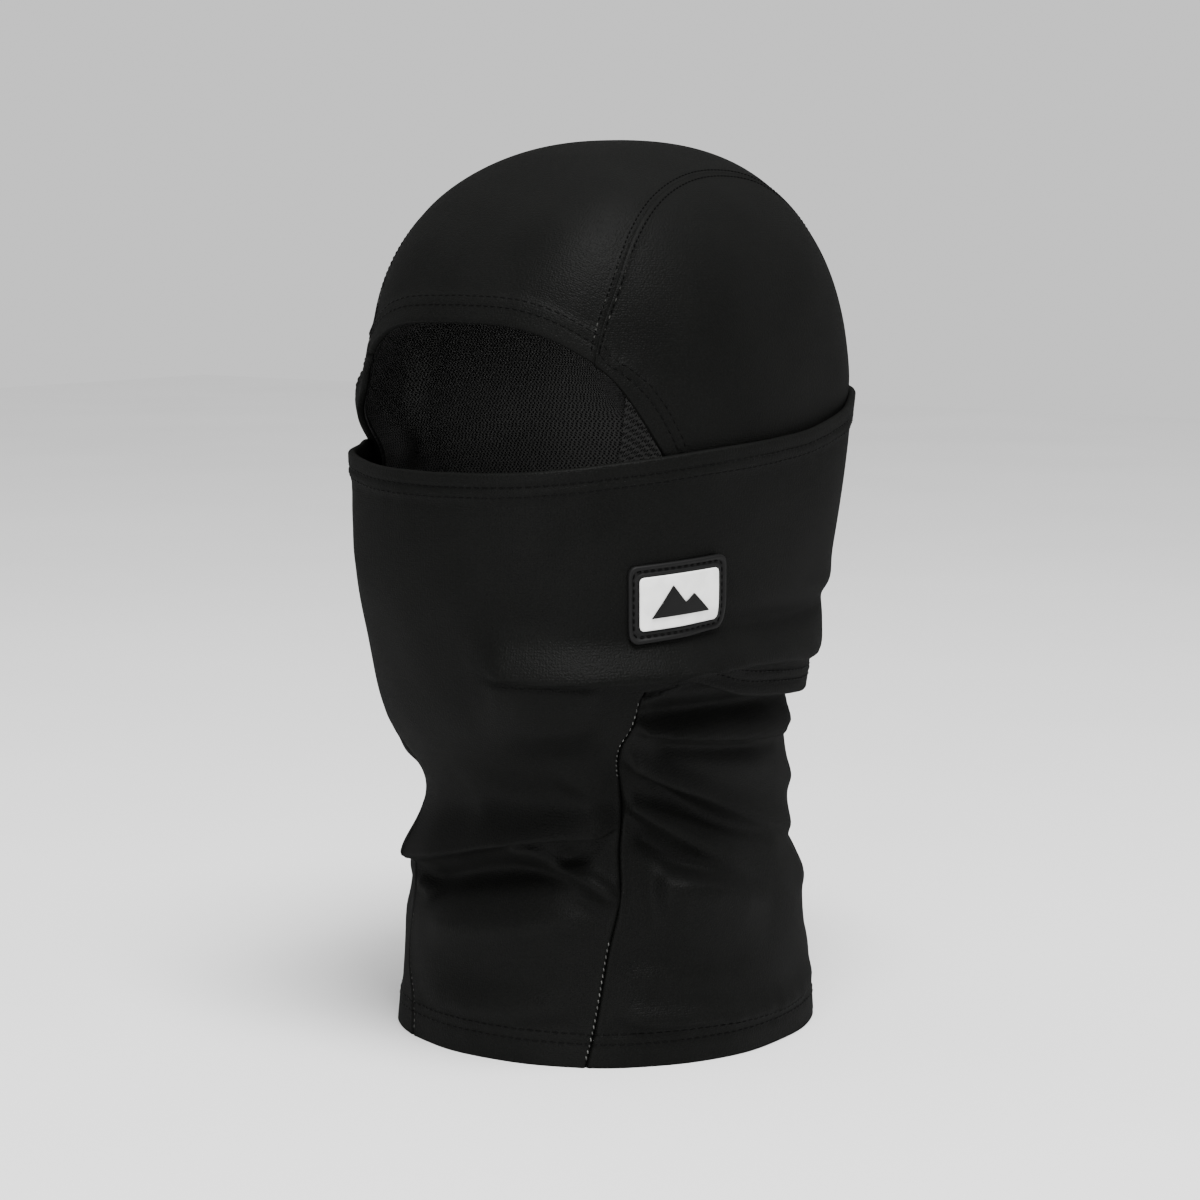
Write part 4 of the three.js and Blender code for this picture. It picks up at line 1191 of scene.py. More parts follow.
@dataclass
class Hood:
    """The hood: crown strip, two side panels, their mesh linings and their rows of stitches."""

    pattern: Pattern
    wardrobe: Wardrobe
    thickness: float = 1.6
    lining_thickness: float = 0.8
    lining_depth: float = 5.5
    row_foot: float = 14.5
    patches: dict[str, Patch] = field(default_factory=dict)

    def _crown_grid(self, fixed: float | None, foot: float, inset: float, columns: int, over: int, down: int) -> Array:
        """Grid of the crown strip: rows over the dome by turn, then down the back by height.

        Args:
            fixed: depth inside the form in mm, or None for the hood's own.
            foot: height of the lowest row.
            inset: how far the front edge lies above the opening's.
            columns: points across.
            over: rows over the dome.
            down: rows down the back.

        Returns:
            The grid of points, in mm.
        """
        side = np.linspace(-1, 1, columns)[None, :]
        edge = (self.pattern.strip_front - self.pattern.gap) * side
        depth = self.pattern.ease if fixed is None else fixed
        start = FORM.turn_at(edge, self.pattern.opening_height(edge) + inset, self.pattern.ease)
        share = np.linspace(0, 1, over)[:, None]
        turn = start + (math.pi - start) * share
        half = self.pattern.seam_x(turn, share) - self.pattern.gap
        dome = FORM.arch(side * half, turn, depth)
        z = np.linspace(self.pattern.brow, foot, down)[1:, None]
        x = side * (self.pattern.back_half(z) - self.pattern.gap)
        rest = self.pattern.hood_depth(z, np.full(z.shape, 180.0)) if fixed is None else depth
        wall = FORM.wall(z, math.pi - FORM.angle_of(x, z, rest), rest)
        return np.concatenate([dome, wall])

    def _side_wall(self, z: Array, share: Array, depth: float | None, sign: float) -> Array:
        """Rows of the side panel below the dome, from the opening or neck seam to the crown seam."""
        deep = self.pattern.ease if depth is None else depth
        above = z > self.pattern.stem_top
        tuck = self.pattern.gap if depth is None else 0.2
        front = np.where(above, self.pattern.opening_half(z) + tuck, self.pattern.stem_half(z, sign) + self.pattern.gap)
        start = FORM.angle_of(front, z, np.where(above, self.pattern.ease, 0.0))
        back_depth = self.pattern.hood_depth(z, np.full(z.shape, 180.0)) if depth is None else depth
        end = math.pi - FORM.angle_of(self.pattern.back_half(z) + self.pattern.gap, z, back_depth)
        angle = start + (end - start) * share
        rest = self.pattern.hood_depth(z, np.degrees(angle), sign) if depth is None else depth
        return FORM.wall(z, angle, rest)

    def _side_grid(
        self, depth: float | None, foot: float, inset: float, columns: int, low: int, high: int, sign: float = 1.0
    ) -> Array:
        """Grid of a side panel, drawn on the left: level rows, then rows drawn up to the crown seam.

        Args:
            depth: depth inside the form in mm, or None for the hood's own.
            foot: height of the lowest row.
            inset: how far the front edge lies above the opening's.
            columns: points across.
            low: level rows, to below the brow.
            high: rows above them.
            sign: 1 for the wearer's left, -1 for the right.

        Returns:
            The grid of points, in mm.
        """
        share = np.linspace(0, 1, columns)[None, :]
        top = 0.946 * self.pattern.brow
        z = np.linspace(foot, top, low)[:, None]
        wall = self._side_wall(z, share, depth, sign)
        deep = self.pattern.ease if depth is None else depth
        front = self.pattern.strip_front
        start = FORM.turn_at(np.array(front), np.array(self.pattern.opening[4][1] + inset), self.pattern.ease)
        turn = start + (math.pi - start) * share
        seam = FORM.arch(self.pattern.seam_x(turn, share) + self.pattern.gap, turn, deep)
        rise = np.linspace(0, 1, high)[1:, None]
        rough = wall[-1:] + (seam - wall[-1:]) * rise[..., None]
        edge_z = top + (seam[..., 2] - top) * rise
        chord = self.pattern.opening_half(np.array(top)) * (1 - rise) + front * rise
        rough[..., 0] += (self.pattern.opening_half(edge_z) - chord) * (1 - share) ** 3
        return np.concatenate([wall, FORM.onto(rough, deep)])

    @staticmethod
    def _angles(points: Array) -> Array:
        """Angle from the front of each point, in degrees, from its level section."""
        a, b, c = FORM.section(np.minimum(points[..., 2], FORM.brow), 0.0)
        s = np.sign(points[..., 0]) * np.abs(points[..., 0] / a) ** (FORM.plan_power / 2)
        y = c - points[..., 1]
        k = np.sign(y) * np.abs(y / b) ** (FORM.plan_power / 2)
        return np.degrees(np.arctan2(s, k))

    def _neck_lift(self, points: Array, behind: bool = False) -> tuple[Array, Array]:
        """Folds and slack on the hood at its points.

        Args:
            points: points of a panel, in mm.
            behind: count the angles on round past the back.

        Returns:
            The outward lift and the droop of each point.
        """
        angle = self._angles(points)
        if behind:
            angle = np.where(angle < 0, angle + 360, angle)
        lift, droop = FOLDS.on_hood(angle, points[..., 2])
        lift_round, droop_round = FOLDS.on_hood(angle - 360, points[..., 2])
        lift, droop = lift + lift_round, droop + droop_round
        calm = 1 - 0.6 * smooth(118, 132, points[..., 2])
        return lift + slack(angle, points[..., 2]) * calm, droop

    def make_crown(self) -> None:
        """Crown strip: opening hem at the brow, crown seams at its sides, bottom hem at the back."""
        base = self._crown_grid(None, 0.0, 0.0, 73, 150, 120)
        lift, droop = self._neck_lift(base, behind=True)
        along = run_length(base, 1)
        brow_hem = OPENING_HEM.lift(run_length(base, 0), along)
        foot = run_length(base, 0, backward=True)
        foot_hem = BOTTOM_HEM.lift(foot, along)
        shape = base.shape[:2]
        near_brow = (np.arange(shape[0]) < 60)[:, None]
        near_foot = (np.arange(shape[0]) > shape[0] - 40)[:, None]
        hem = np.where(near_brow, brow_hem, 0.0) + np.where(near_foot, foot_hem, 0.0)
        seam = np.minimum(run_length(base, 1), run_length(base, 1, True))
        lift = lift + hem + CROWN_SEAM.lift(seam)
        points = raised(base, lift, droop)
        extra = np.clip(hem, 0, 2)
        pattern = np.stack([base[..., 0], run_length(base, 0)], -1)
        self.patches["crown"] = Patch(points, extra, pattern)
        obj = cloth_shell("hood_crown", [self.patches["crown"]], self.thickness, 0.22)
        self.wardrobe.fit(obj, Finish.KNIT, "hood_cloth", "crown_panel", Body.HOOD)
        self._declare(obj, (0.100, 0.520), 0.0505)

    def make_sides(self) -> None:
        """Side panels: opening hem and neck seam in front, crown seam behind and above, bottom hem below."""
        for name, sign in (("left", 1.0), ("right", -1.0)):
            base = self._side_grid(None, 0.0, 0.0, 112, 165, 46, sign)
            place = base * np.array([sign, 1.0, 1.0])
            lift, droop = self._neck_lift(place)
            from_front = run_length(base, 1)
            from_top = run_length(base, 0, backward=True)
            from_back = run_length(base, 1, backward=True)
            from_foot = run_length(base, 0)
            above = smooth(129.5, 132.5, base[..., 2])
            hem = OPENING_HEM.lift(from_front, from_foot) * above
            foot_hem = BOTTOM_HEM.lift(from_foot, from_front)
            hem = hem + foot_hem
            crown = CROWN_SEAM.lift(np.minimum(from_top, from_back))
            neck = NECK_SEAM.lift(from_front) * (1 - above)
            lift = lift + hem + crown + neck
            points = raised(place, lift, droop)
            pattern = np.stack([from_front * sign, place[..., 2]], -1)
            patch = Patch(points, np.clip(hem, 0, 2), pattern)
            self.patches[name] = patch
            obj = cloth_shell(f"hood_side_{name}", [patch], self.thickness, 0.22)
            self.wardrobe.fit(obj, Finish.KNIT, "hood_cloth", f"side_panel_{name}", Body.HOOD)
            self._declare(obj, (0.190, 0.330), 0.0420)

    def make_linings(self) -> None:
        """Mesh linings behind the three panels, a little uneven as loose mesh hangs."""
        crown = self._crown_grid(self.lining_depth, self.pattern.stem_top, 2.0, 41, 90, 44)
        side = self._side_grid(self.lining_depth, self.pattern.stem_top + 1, 2.0, 64, 40, 26)
        grids = {
            "crown": crown,
            "left": side,
            "right": side * np.array([-1.0, 1.0, 1.0]),
        }
        for name, base in grids.items():
            wave = 0.8 * np.sin(base[..., 2] / 9.0 + base[..., 0] / 14.0) * np.sin(base[..., 1] / 17.0)
            edge = run_length(base, 0 if name == "crown" else 1)
            loose = smooth(2, 22, edge)
            shaped, _ = FOLDS.on_hood(self._angles(base), base[..., 2])
            points = raised(base, 0.93 * (1 - loose) - np.abs(wave) * loose + shaped)
            away = (50.0, 0.0) if name == "crown" else (0.0, 50.0)
            pattern = np.stack([run_length(base, 1) + away[0], run_length(base, 0) + away[1]], -1)
            patch = Patch(points, np.zeros(base.shape[:2]), pattern)
            obj = cloth_shell(f"lining_{name}", [patch], self.lining_thickness, 0.2, 3)
            node = "crown_lining" if name == "crown" else f"side_lining_{name}"
            self.wardrobe.fit(obj, Finish.MESH, "mesh_lining", node, Body.HOOD)
            flat, area = ((0.095, 0.330), 0.0295) if name == "crown" else ((0.160, 0.180), 0.0195)
            self._declare(obj, flat, area)

    def make_opening_rows(self) -> None:
        """Two rows round the face opening, over the crown strip and down both side panels."""
        stitch = Stitch(2.0, 2.9, 0.26, 0.28)
        for node, distance in (("opening_row_inner", OPENING_HEM.near), ("opening_row_outer", OPENING_HEM.far)):
            parts = [stitch.bars(*self._opening_line(name, distance)) for name in ("crown", "left", "right")]
            row = stitch_row(f"stitches_{node}", parts)
            self.wardrobe.fit(row, Finish.BLACK_THREAD, "black_thread", node, Body.HOOD)

    def _opening_line(self, name: str, distance: float) -> tuple[Array, Array]:
        """The opening row's line on one panel."""
        patch = self.patches[name]
        edge = Edge.FOOT if name == "crown" else Edge.START
        line, normal = patch.line(edge, distance, 0.05)
        if name == "crown":
            return line, normal
        keep = line[:, 2] > self.pattern.stem_top + 4
        return line[keep], normal[keep]

    def make_crown_rows(self) -> None:
        """Rows on both sides of each crown seam, from the opening's edge to the bottom hem."""
        stitch = Stitch(1.3, 2.1, 0.27, 0.24)
        for name, crown_edge in (("left", Edge.END), ("right", Edge.START)):
            sides = {
                "inner": (("crown", crown_edge),),
                "outer": ((name, Edge.TOP), (name, Edge.END)),
            }
            for part, edges in sides.items():
                kept = []
                for panel, edge in edges:
                    line, normal = self.patches[panel].line(edge, CROWN_SEAM.rows, 0.10)
                    keep = line[:, 2] > self.row_foot
                    keep[:2] = False
                    kept.append((line[keep], normal[keep]))
                node = f"crown_row_{part}_{name}"
                row = stitch_row(f"stitches_{node}", [stitch.bars(*k) for k in kept if len(k[0]) > 3])
                # These rows get painted glints: pale flecks as highlights on the thread.
                self.wardrobe.fit(row, Finish.PAINTED_GLINT_THREAD, "black_thread", node, Body.HOOD)

    @staticmethod
    def _declare(obj: bpy.types.Object, flat: tuple[float, float], area: float) -> None:
        """Does nothing with the panel."""

    def build(self) -> None:
        """Make every piece of the hood."""
        self.make_crown()
        self.make_sides()
        self.make_linings()
        self.make_opening_rows()
        self.make_crown_rows()


@dataclass
class Mask:
    """The mask: a band round the head with a stem down the throat, in one cloth, with its hems and stitches."""

    pattern: Pattern
    wardrobe: Wardrobe
    thickness: float = 1.8
    columns: int = 117
    wing_columns: int = 132
    band_rows: int = 70
    stem_rows: int = 118
    fold_top: float = 119.0
    fold_foot: float = 12.0
    tape_half: float = 9.5
    tape_depth: float = 2.9
    pale_below: float = 44.0
    pale_above: float = 99.0
    front: Patch | None = None
    wings: dict[str, Patch] = field(default_factory=dict)

    def _lift(self, base: Array, angle: Array) -> tuple[Array, Array]:
        """Folds and slack on the mask."""
        lift, droop = FOLDS.on_mask(angle, base[..., 2])
        return lift + slack(angle, base[..., 2]), droop

    def _corner(self) -> float:
        """Angle of the stem's top corner."""
        z = np.array(self.pattern.stem_top)
        return float(FORM.angle_of(self.pattern.stem(z) - self.pattern.gap, z, 0.0))

    def make_front(self) -> Patch:
        """Middle of the mask and the stem: columns spread with the neck seams, then run straight up."""
        across = np.linspace(-1, 1, self.columns)[None, :]
        z_stem = np.linspace(0, self.pattern.stem_top, self.stem_rows)[:-1, None]
        halves = [FORM.angle_of(self.pattern.stem_half(z_stem, s) - self.pattern.gap, z_stem, 0.0) for s in (1.0, -1.0)]
        angle_stem = np.where(across > 0, halves[0], halves[1]) * across
        share = np.linspace(0, 1, self.band_rows)[:, None]
        angle_band = self._corner() * across + 0 * share
        top = self.pattern.upper(np.abs(np.degrees(angle_band)))
        z_band = self.pattern.stem_top + (top - self.pattern.stem_top) * share
        angle = np.concatenate([angle_stem, angle_band])
        z = np.concatenate([z_stem + 0 * across, z_band])
        base = FORM.wall(z, angle, 0.0)
        lift, droop = self._lift(base, np.degrees(angle))
        along = run_length(base, 1)
        hem = MASK_HEM.lift(run_length(base, 0, True), angle * 80)
        foot = BOTTOM_HEM.lift(run_length(base, 0), along)
        beside = np.minimum(run_length(base, 1), run_length(base, 1, True))
        seam = NECK_SEAM.lift(beside) * (1 - smooth(127, 131, z))
        points = raised(base, lift + hem + foot + seam, droop)
        pattern = np.stack([angle * 75, z], -1)
        self.front = Patch(points, np.clip(hem + foot, 0, 2), pattern)
        return self.front

    def make_wing(self, sign: float) -> Patch:
        """One side of the band, from the stem's corner to the seam behind the head."""
        corner = self._corner()
        angle = np.linspace(corner, math.pi - 0.0012, self.wing_columns)[None, :] + np.zeros((self.band_rows, 1))
        low = self.pattern.lower_edge(np.degrees(angle))
        low = np.where(np.degrees(angle) <= math.degrees(corner) + 0.01, self.pattern.stem_top, low)
        top = self.pattern.upper(np.degrees(angle))
        if sign < 0:
            dip = 3.6 * smooth(math.degrees(corner), 62, np.degrees(angle))
            top = top - dip * (1 - smooth(76, 112, np.degrees(angle)))
        share = np.linspace(0, 1, self.band_rows)[:, None]
        z = low + (top - low) * share
        base = FORM.wall(z, angle * sign, 0.0)
        lift, droop = self._lift(base, np.degrees(angle) * sign)
        hem = MASK_HEM.lift(run_length(base, 0, True), angle * 80 * sign)
        foot = MASK_HEM.lift(run_length(base, 0), angle * 80 + 9) * smooth(55, 62, np.degrees(angle))
        behind = SeamRidge(0.4, 2.2, 0.9, 0.6, 2.0).lift(run_length(base, 1, True))
        points = raised(base, lift + hem + foot + behind, droop)
        pattern = np.stack([angle * 75 * sign, z], -1)
        patch = Patch(points, np.clip(hem + foot, 0, 2), pattern)
        self.wings["left" if sign > 0 else "right"] = patch
        return patch

    def _fold_with_drop(self, obj: bpy.types.Object) -> None:
        """Bake the piece's placement into its mesh."""
        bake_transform(obj)

    def make_cloth(self) -> None:
        """The whole mask as one closed sheet."""
        front, left, right = self.make_front(), self.make_wing(1.0), self.make_wing(-1.0)
        rows = self.stem_rows - 1
        left.points[:, 0] = front.points[rows:, -1]
        right.points[:, 0] = front.points[rows:, 0]
        obj = cloth_shell("mask", [front, left, right], self.thickness, 0.8)
        self.wardrobe.dress(obj, Finish.KNIT, "mask_cloth")
        self._fold_with_drop(obj)
        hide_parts("mask_panel", "mask_stem")

    def make_hem_rows(self) -> None:
        """Two rows along the top hem all the way round, and two along the band's lower hem on each side."""
        stitch = Stitch(2.1, 3.0, 0.26, 0.28)
        for node, distance in (("mask_top_row_upper", MASK_HEM.near), ("mask_top_row_lower", MASK_HEM.far)):
            parts = [p.line(Edge.TOP, distance, 0.05) for p in (self.front, self.wings["left"], self.wings["right"])]
            self._sew(node, [stitch.bars(*p) for p in parts])
        for node, distance in (("mask_hem_row_lower", MASK_HEM.near), ("mask_hem_row_upper", MASK_HEM.far)):
            parts = []
            for patch in self.wings.values():
                line, normal = patch.line(Edge.FOOT, distance, 0.05)
                parts.append(stitch.bars(line[6:], normal[6:]))
            self._sew(node, parts)
        for name, patch in self.wings.items():
            line, normal = patch.line(Edge.END, 2.0, 0.06)
            node = f"back_seam_row_{name}"
            self._sew(node, [stitch.bars(line[6:-6], normal[6:-6])])

    def _sew(self, node: str, parts: list) -> None:
        """Make a row of black stitches and put it on the mask."""
        row = stitch_row(f"stitches_{node}", parts)
        self.wardrobe.fit(row, Finish.BLACK_THREAD, "black_thread", node, Body.MASK)

    def make_neck_seams(self) -> None:
        """Pale stitches showing in the groove of each neck seam."""
        stitch = Stitch(1.5, 2.2, 0.36, 0.32, 0.45)
        for name, edge in (("left", Edge.END), ("right", Edge.START)):
            line, normal = self.front.line(edge, 0.75, -0.10)
            line, normal = line[: self.stem_rows], normal[: self.stem_rows]
            z = line[:, 2]
            low = (z > 1.5) & (z < self.pale_below)
            high = (z > self.pale_above) & (z < self.pattern.stem_top - 3)
            parts = [stitch.bars(line[m], normal[m]) for m in (low, high)]
            node = f"neck_seam_row_{name}"
            obj = stitch_row(f"stitches_{node}", parts)
            self.wardrobe.dress(obj, Finish.GREY_THREAD, "pale_thread")
            self._fold_with_drop(obj)
            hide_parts(node)

    def make_tapes(self) -> None:
        """A tape behind each neck seam, set a little inside both the stem and the hood there."""
        z = np.linspace(9.0, self.pattern.stem_top - 3, 70)[:, None]
        share = np.linspace(-1, 1, 25)[None, :] + 0 * z
        z = z + 0 * share
        for name, sign in (("left", 1.0), ("right", -1.0)):
            seam = self.pattern.stem_half(z, sign)
            angle = FORM.angle_of(seam, z, 0.0) + share * self.tape_half / 62.0
            turned = np.degrees(angle) * sign
            rest = self.pattern.hood_depth(z, np.degrees(angle), sign)
            lift, droop = FOLDS.on_mask(turned, z)
            beyond, _ = FOLDS.on_hood(turned, z)
            lowest = np.minimum(lift, beyond) + slack(turned, z)
            base = FORM.wall(z, angle * sign, rest)
            points = raised(base, lowest - self.tape_depth, droop)
            pattern = np.stack([share * self.tape_half, z], -1)
            obj = cloth_shell(f"neck_seam_tape_{name}", [Patch(points, np.zeros(z.shape), pattern)], 0.6, 0.1, 2)
            self.wardrobe.dress(obj, Finish.KNIT, "mask_cloth")
            self._fold_with_drop(obj)

    def build(self) -> None:
        """Make every piece of the mask."""
        self.make_cloth()
        self.make_tapes()
        self.make_hem_rows()
        self.make_neck_seams()


@dataclass
class BottomHem:
    """Two rows round the bottom hem, over the stem and all the hood's panels."""

    hood: Hood
    mask: Mask
    wardrobe: Wardrobe

    def build(self) -> None:
        """Make both rows."""
        stitch = Stitch(2.2, 3.1, 0.26, 0.28)
        grids = [
            (self.mask.front, Edge.FOOT),
            (self.hood.patches["left"], Edge.FOOT),
            (self.hood.patches["right"], Edge.FOOT),
            (self.hood.patches["crown"], Edge.TOP),
        ]
        for node, distance in (("bottom_row_lower", BOTTOM_HEM.near), ("bottom_row_upper", BOTTOM_HEM.far)):
            parts = [stitch.bars(*patch.line(edge, distance, 0.05)) for patch, edge in grids]
            row = stitch_row(f"stitches_{node}", parts)
            self.wardrobe.fit(row, Finish.BLACK_THREAD, "black_thread", node, Body.HOOD)


@dataclass
class Badge:
    """Moulded badge on the wearer's left cheek: rubber base, white field, dark peaks, stitched round."""

    wardrobe: Wardrobe
    width: float = 39.0
    height: float = 26.0
    corner: float = 3.0
    thickness: float = 1.6
    tilt: float = 4.0
    angle: float = 61.8
    middle: float = 162.9

    def place(self, across: Array, up: Array, level: Array) -> Array:
        """Points on the cheek at distances across and up from the badge's middle, a level above the cloth."""
        centre = FORM.wall(np.array(self.middle), np.array(math.radians(self.angle)), 0.0)
        normal = FORM.outward(centre[None])[0]
        flat = unit(np.cross([0.0, 0.0, 1.0], normal))
        rising = unit(np.cross(normal, flat))
        t = math.radians(self.tilt)
        rough = centre + (across * math.cos(t) - up * math.sin(t))[..., None] * flat
        rough = rough + (across * math.sin(t) + up * math.cos(t))[..., None] * rising
        base = FORM.onto(rough, 0.0)
        angle = Hood._angles(base)
        lift, _ = FOLDS.on_mask(angle, base[..., 2])
        return base + FORM.outward(base) * (level + lift + 0.3)[..., None]

    @staticmethod
    def outline(width: float, height: float, corner: float, count: int) -> Array:
        """Rounded rectangle as evenly spaced points.

        Args:
            width: overall width.
            height: overall height.
            corner: corner radius.
            count: number of points.

        Returns:
            Points anticlockwise; straights joined by quarter circles.
        """
        turn = np.linspace(0, 2 * math.pi, 721)[:-1]
        quarter = np.floor(turn / (math.pi / 2)).astype(int) % 4
        sx = np.array([1, -1, -1, 1])[quarter]
        sy = np.array([1, 1, -1, -1])[quarter]
        x = sx * (width / 2 - corner) + corner * np.cos(turn)
        y = sy * (height / 2 - corner) + corner * np.sin(turn)
        loop = np.stack([np.append(x, x[0]), np.append(y, y[0])], -1)
        run = np.concatenate([[0], np.cumsum(np.linalg.norm(np.diff(loop, axis=0), axis=1))])
        at = np.linspace(0, run[-1], count, endpoint=False)
        return np.stack([np.interp(at, run, loop[:, 0]), np.interp(at, run, loop[:, 1])], -1)

    def _disc(
        self, name: str, outline: Array, profile: tuple[tuple[float, float], ...], base: float
    ) -> bpy.types.Object:
        """Closed moulding with a given outline.

        Args:
            name: the piece's name.
            outline: points of the outline.
            profile: (inset, level) pairs from the foot of the wall inwards.
            base: level of the underside.

        Returns:
            The object: rings of the outline drawn in by each inset at each level, closed above and below.
        """
        middle = outline.mean(0)
        size = np.abs(outline - middle).max(0)
        rings = []
        for inset, level in profile:
            scale = np.maximum(1 - inset / size, 0.0)
            ring = middle + (outline - middle) * scale
            rings.append(self.place(ring[:, 0], ring[:, 1], np.full(len(ring), level)))
        inner_inset = profile[-1][0]
        last = middle + (outline - middle) * np.maximum(1 - inner_inset / size, 0)
        for share in (0.75, 0.5, 0.25, 0.04):
            ring = middle + (last - middle) * share
            rings.append(self.place(ring[:, 0], ring[:, 1], np.full(len(ring), profile[-1][1])))
        under = []
        for share in (0.04, 0.35, 0.7, 0.97):
            ring = middle + (outline - middle) * share
            under.append(self.place(ring[:, 0], ring[:, 1], np.full(len(ring), base)))
        stack = np.stack(under + rings)
        rows, count = stack.shape[:2]
        r, c = np.meshgrid(np.arange(rows - 1), np.arange(count), indexing="ij")
        a, b = (r * count + c).ravel(), (r * count + (c + 1) % count).ravel()
        faces = np.stack([a, b, b + count, a + count], -1)
        points = stack.reshape(-1, 3)
        low, high = points[:count].mean(0), points[-count:].mean(0)
        points = np.vstack([points, low, high])
        k = np.arange(count)
        k2 = (k + 1) % count
        end = (rows - 1) * count
        bottom = np.stack([k2, k, np.full(count, len(points) - 2)], -1)
        top = np.stack([end + k, end + k2, np.full(count, len(points) - 1)], -1)
        mesh = new_object(name, points, faces)
        extra = new_object(f"{name}_caps", points, np.vstack([bottom, top]))
        return self._merge(mesh, extra)

    @staticmethod
    def _merge(first: bpy.types.Object, second: bpy.types.Object) -> bpy.types.Object:
        """Join two meshes into the first, weld their shared points and face them outwards."""
        work = bmesh.new()
        work.from_mesh(first.data)
        work.from_mesh(second.data)
        bmesh.ops.remove_doubles(work, verts=work.verts, dist=1e-7)
        bmesh.ops.recalc_face_normals(work, faces=work.faces)
        work.to_mesh(first.data)
        work.free()
        bpy.data.objects.remove(second)
        first.data.polygons.foreach_set("use_smooth", np.ones(len(first.data.polygons), bool))
        return first

    def build(self) -> None:
        """Make the base, the field, the peaks and the stitches."""
        top = self.thickness
        outline = self.outline(self.width, self.height, self.corner, 112)
        wall = (
            (0.0, 0.0), (-0.05, 0.5), (0.0, 1.1), (0.35, top), (1.25, top),
            (1.5, top - 0.45), (2.5, top - 0.45), (2.75, top), (3.4, top), (3.6, top - 0.15),
        )
        base = self._disc("badge_rubber", outline, wall, -0.35)
        self.wardrobe.fit(base, Finish.RUBBER, "badge_rubber", "badge_base", Body.MASK)
        field_line = self.outline(self.width - 8, self.height - 8, 1.5, 96)
        low = top - 0.25
        face = ((0.0, low), (0.0, low + 0.55), (0.2, low + 0.75), (0.6, low + 0.75))
        white = self._disc("badge_white_field", field_line, face, low - 0.1)
        self.wardrobe.fit(white, Finish.PRINT, "badge_print", "badge_field", Body.MASK)
        self.wardrobe.fit(self._peaks(low + 0.7), Finish.RUBBER, "badge_rubber", "badge_peaks", Body.MASK)
        groove = self.outline(self.width - 4, self.height - 4, 2.0, 160)
        line = self.place(groove[:, 0], groove[:, 1], np.full(len(groove), top - 0.35))
        stitch = Stitch(1.7, 2.5, 0.3, 0.28)
        row = stitch_row("stitches_badge", [stitch.bars(line, FORM.outward(line), ring=True)])
        self.wardrobe.fit(row, Finish.BLACK_THREAD, "black_thread", "badge_thread", Body.MASK)

    def _peaks(self, level: float) -> bpy.types.Object:
        """Plain mountain outline, raised on the field."""
        w, h = self.width - 8, self.height - 8
        corners = np.array([
            [-0.36 * w, -0.28 * h], [0.36 * w, -0.28 * h], [0.16 * w, 0.1 * h],
            [0.06 * w, -0.06 * h], [-0.1 * w, 0.3 * h], [-0.23 * w, 0.0],
        ])
        loop = np.vstack([corners, corners[:1]])
        run = np.concatenate([[0], np.cumsum(np.linalg.norm(np.diff(loop, axis=0), axis=1))])
        at = np.linspace(0, run[-1], 90, endpoint=False)
        outline = np.stack([np.interp(at, run, loop[:, 0]), np.interp(at, run, loop[:, 1])], -1)
        profile = ((0.0, level), (0.0, level + 0.4), (0.25, level + 0.5))
        return self._disc("badge_peaks_mark", outline, profile, level - 0.1)


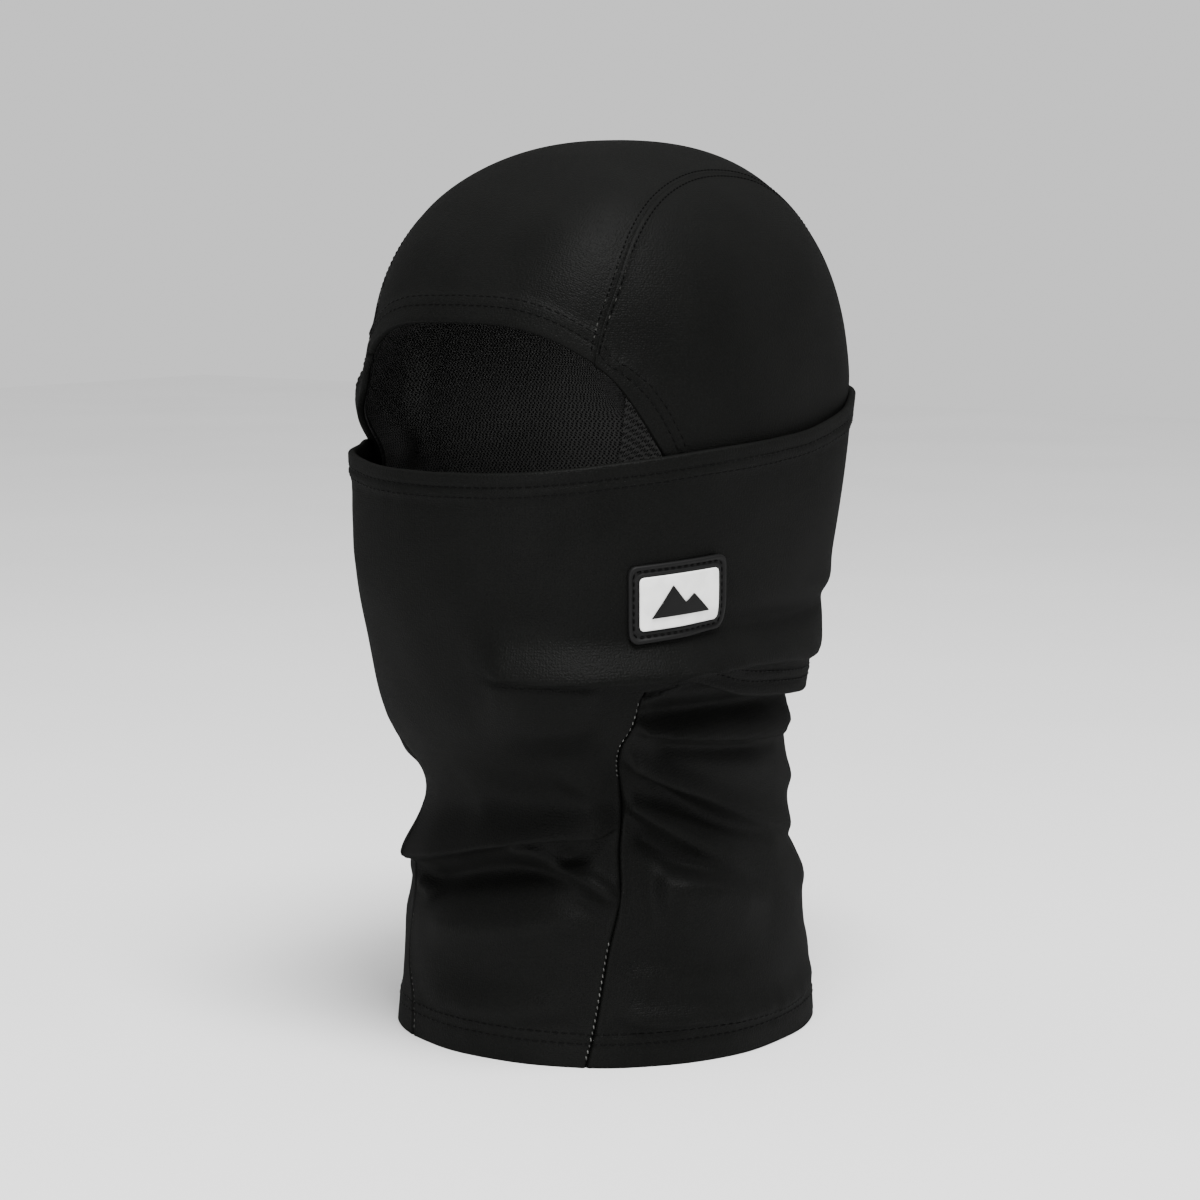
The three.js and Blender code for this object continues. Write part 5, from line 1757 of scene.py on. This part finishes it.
@dataclass
class Studio:
    """Pale floor, soft lights and the camera."""

    azimuth: float = 36.0
    elevation: float = 7.2
    distance: float = 1.154
    height: float = 0.152
    aside: float = -0.002
    lens: float = 96.2

    def make_camera(self) -> None:
        """Camera on the wearer's left front, a little above the mask."""
        a, e = math.radians(self.azimuth), math.radians(self.elevation)
        back = np.array([math.sin(a) * math.cos(e), -math.cos(a) * math.cos(e), math.sin(e)])
        target = np.array([math.cos(a) * self.aside, math.sin(a) * self.aside, self.height])
        camera = bpy.data.objects.new("camera", bpy.data.cameras.new("camera"))
        bpy.context.scene.collection.objects.link(camera)
        camera.data.lens = self.lens
        camera.data.sensor_width = 36.0
        camera.location = target + back * self.distance
        camera.rotation_euler = (math.radians(90) - e, 0.0, a)
        bpy.context.scene.camera = camera

    def make_floor(self) -> None:
        """A wide pale floor with a faint unevenness."""
        side = np.linspace(-3000, 3000, 9)
        x, y = np.meshgrid(side, side)
        points = np.stack([x.ravel(), y.ravel(), np.full(x.size, -0.15)], -1)
        floor = new_object("studio_floor", points, grid_faces(9, 9))
        sheet = NodeSheet("floor_pale")
        place = sheet.add("ShaderNodeTexCoord")
        cloud = sheet.noise(3.0, 2.0, (place, "Object"))
        shade = sheet.ramp((cloud, "Fac"), [(0.3, (0.86, 0.86, 0.86)), (0.7, (0.90, 0.90, 0.90))])
        sheet.join(shade, "Color", sheet.shader, "Base Color")
        sheet.shader.inputs["Roughness"].default_value = 0.8
        sheet.shader.inputs["Specular IOR Level"].default_value = 0.1
        floor.data.materials.append(sheet.material)

    def make_light(self, name: str, place: tuple[float, float, float], size: float, power: float) -> None:
        """A soft square light aimed at the mask."""
        light = bpy.data.lights.new(name, "AREA")
        light.shape = "SQUARE"
        light.size = size
        light.energy = power
        obj = bpy.data.objects.new(name, light)
        bpy.context.scene.collection.objects.link(obj)
        start = np.array(place)
        aim = np.array([0.0, 0.0, 0.17]) - start
        flat = math.hypot(aim[0], aim[1])
        obj.location = start
        obj.rotation_euler = (math.atan2(flat, -aim[2]), 0.0, math.atan2(-aim[0], aim[1]))

    def build(self) -> None:
        """Set up the whole studio."""
        self.make_camera()
        self.make_floor()
        world = bpy.data.worlds.new("studio_air")
        world.use_nodes = True
        world.node_tree.nodes["Background"].inputs["Color"].default_value = (1.0, 1.0, 1.0, 1.0)
        world.node_tree.nodes["Background"].inputs["Strength"].default_value = 0.9
        bpy.context.scene.world = world
        self.make_light("top_light", (0.60, -0.40, 1.80), 0.8, 66.0)
        self.make_light("front_light", (0.5, -1.88, 0.40), 0.8, 15.0)


def write_sizes() -> None:
    log.info("sizes written")


def main() -> None:
    """Build the balaclava and its studio in order."""
    logging.basicConfig(level=logging.INFO, format="%(name)s: %(message)s")
    wardrobe = Wardrobe()
    pattern = Pattern()
    hood = Hood(pattern, wardrobe)
    hood.build()
    mask = Mask(pattern, wardrobe)
    mask.build()
    BottomHem(hood, mask, wardrobe).build()
    Badge(wardrobe).build()
    Studio().build()
    write_sizes()


if __name__ == "__main__":
    main()
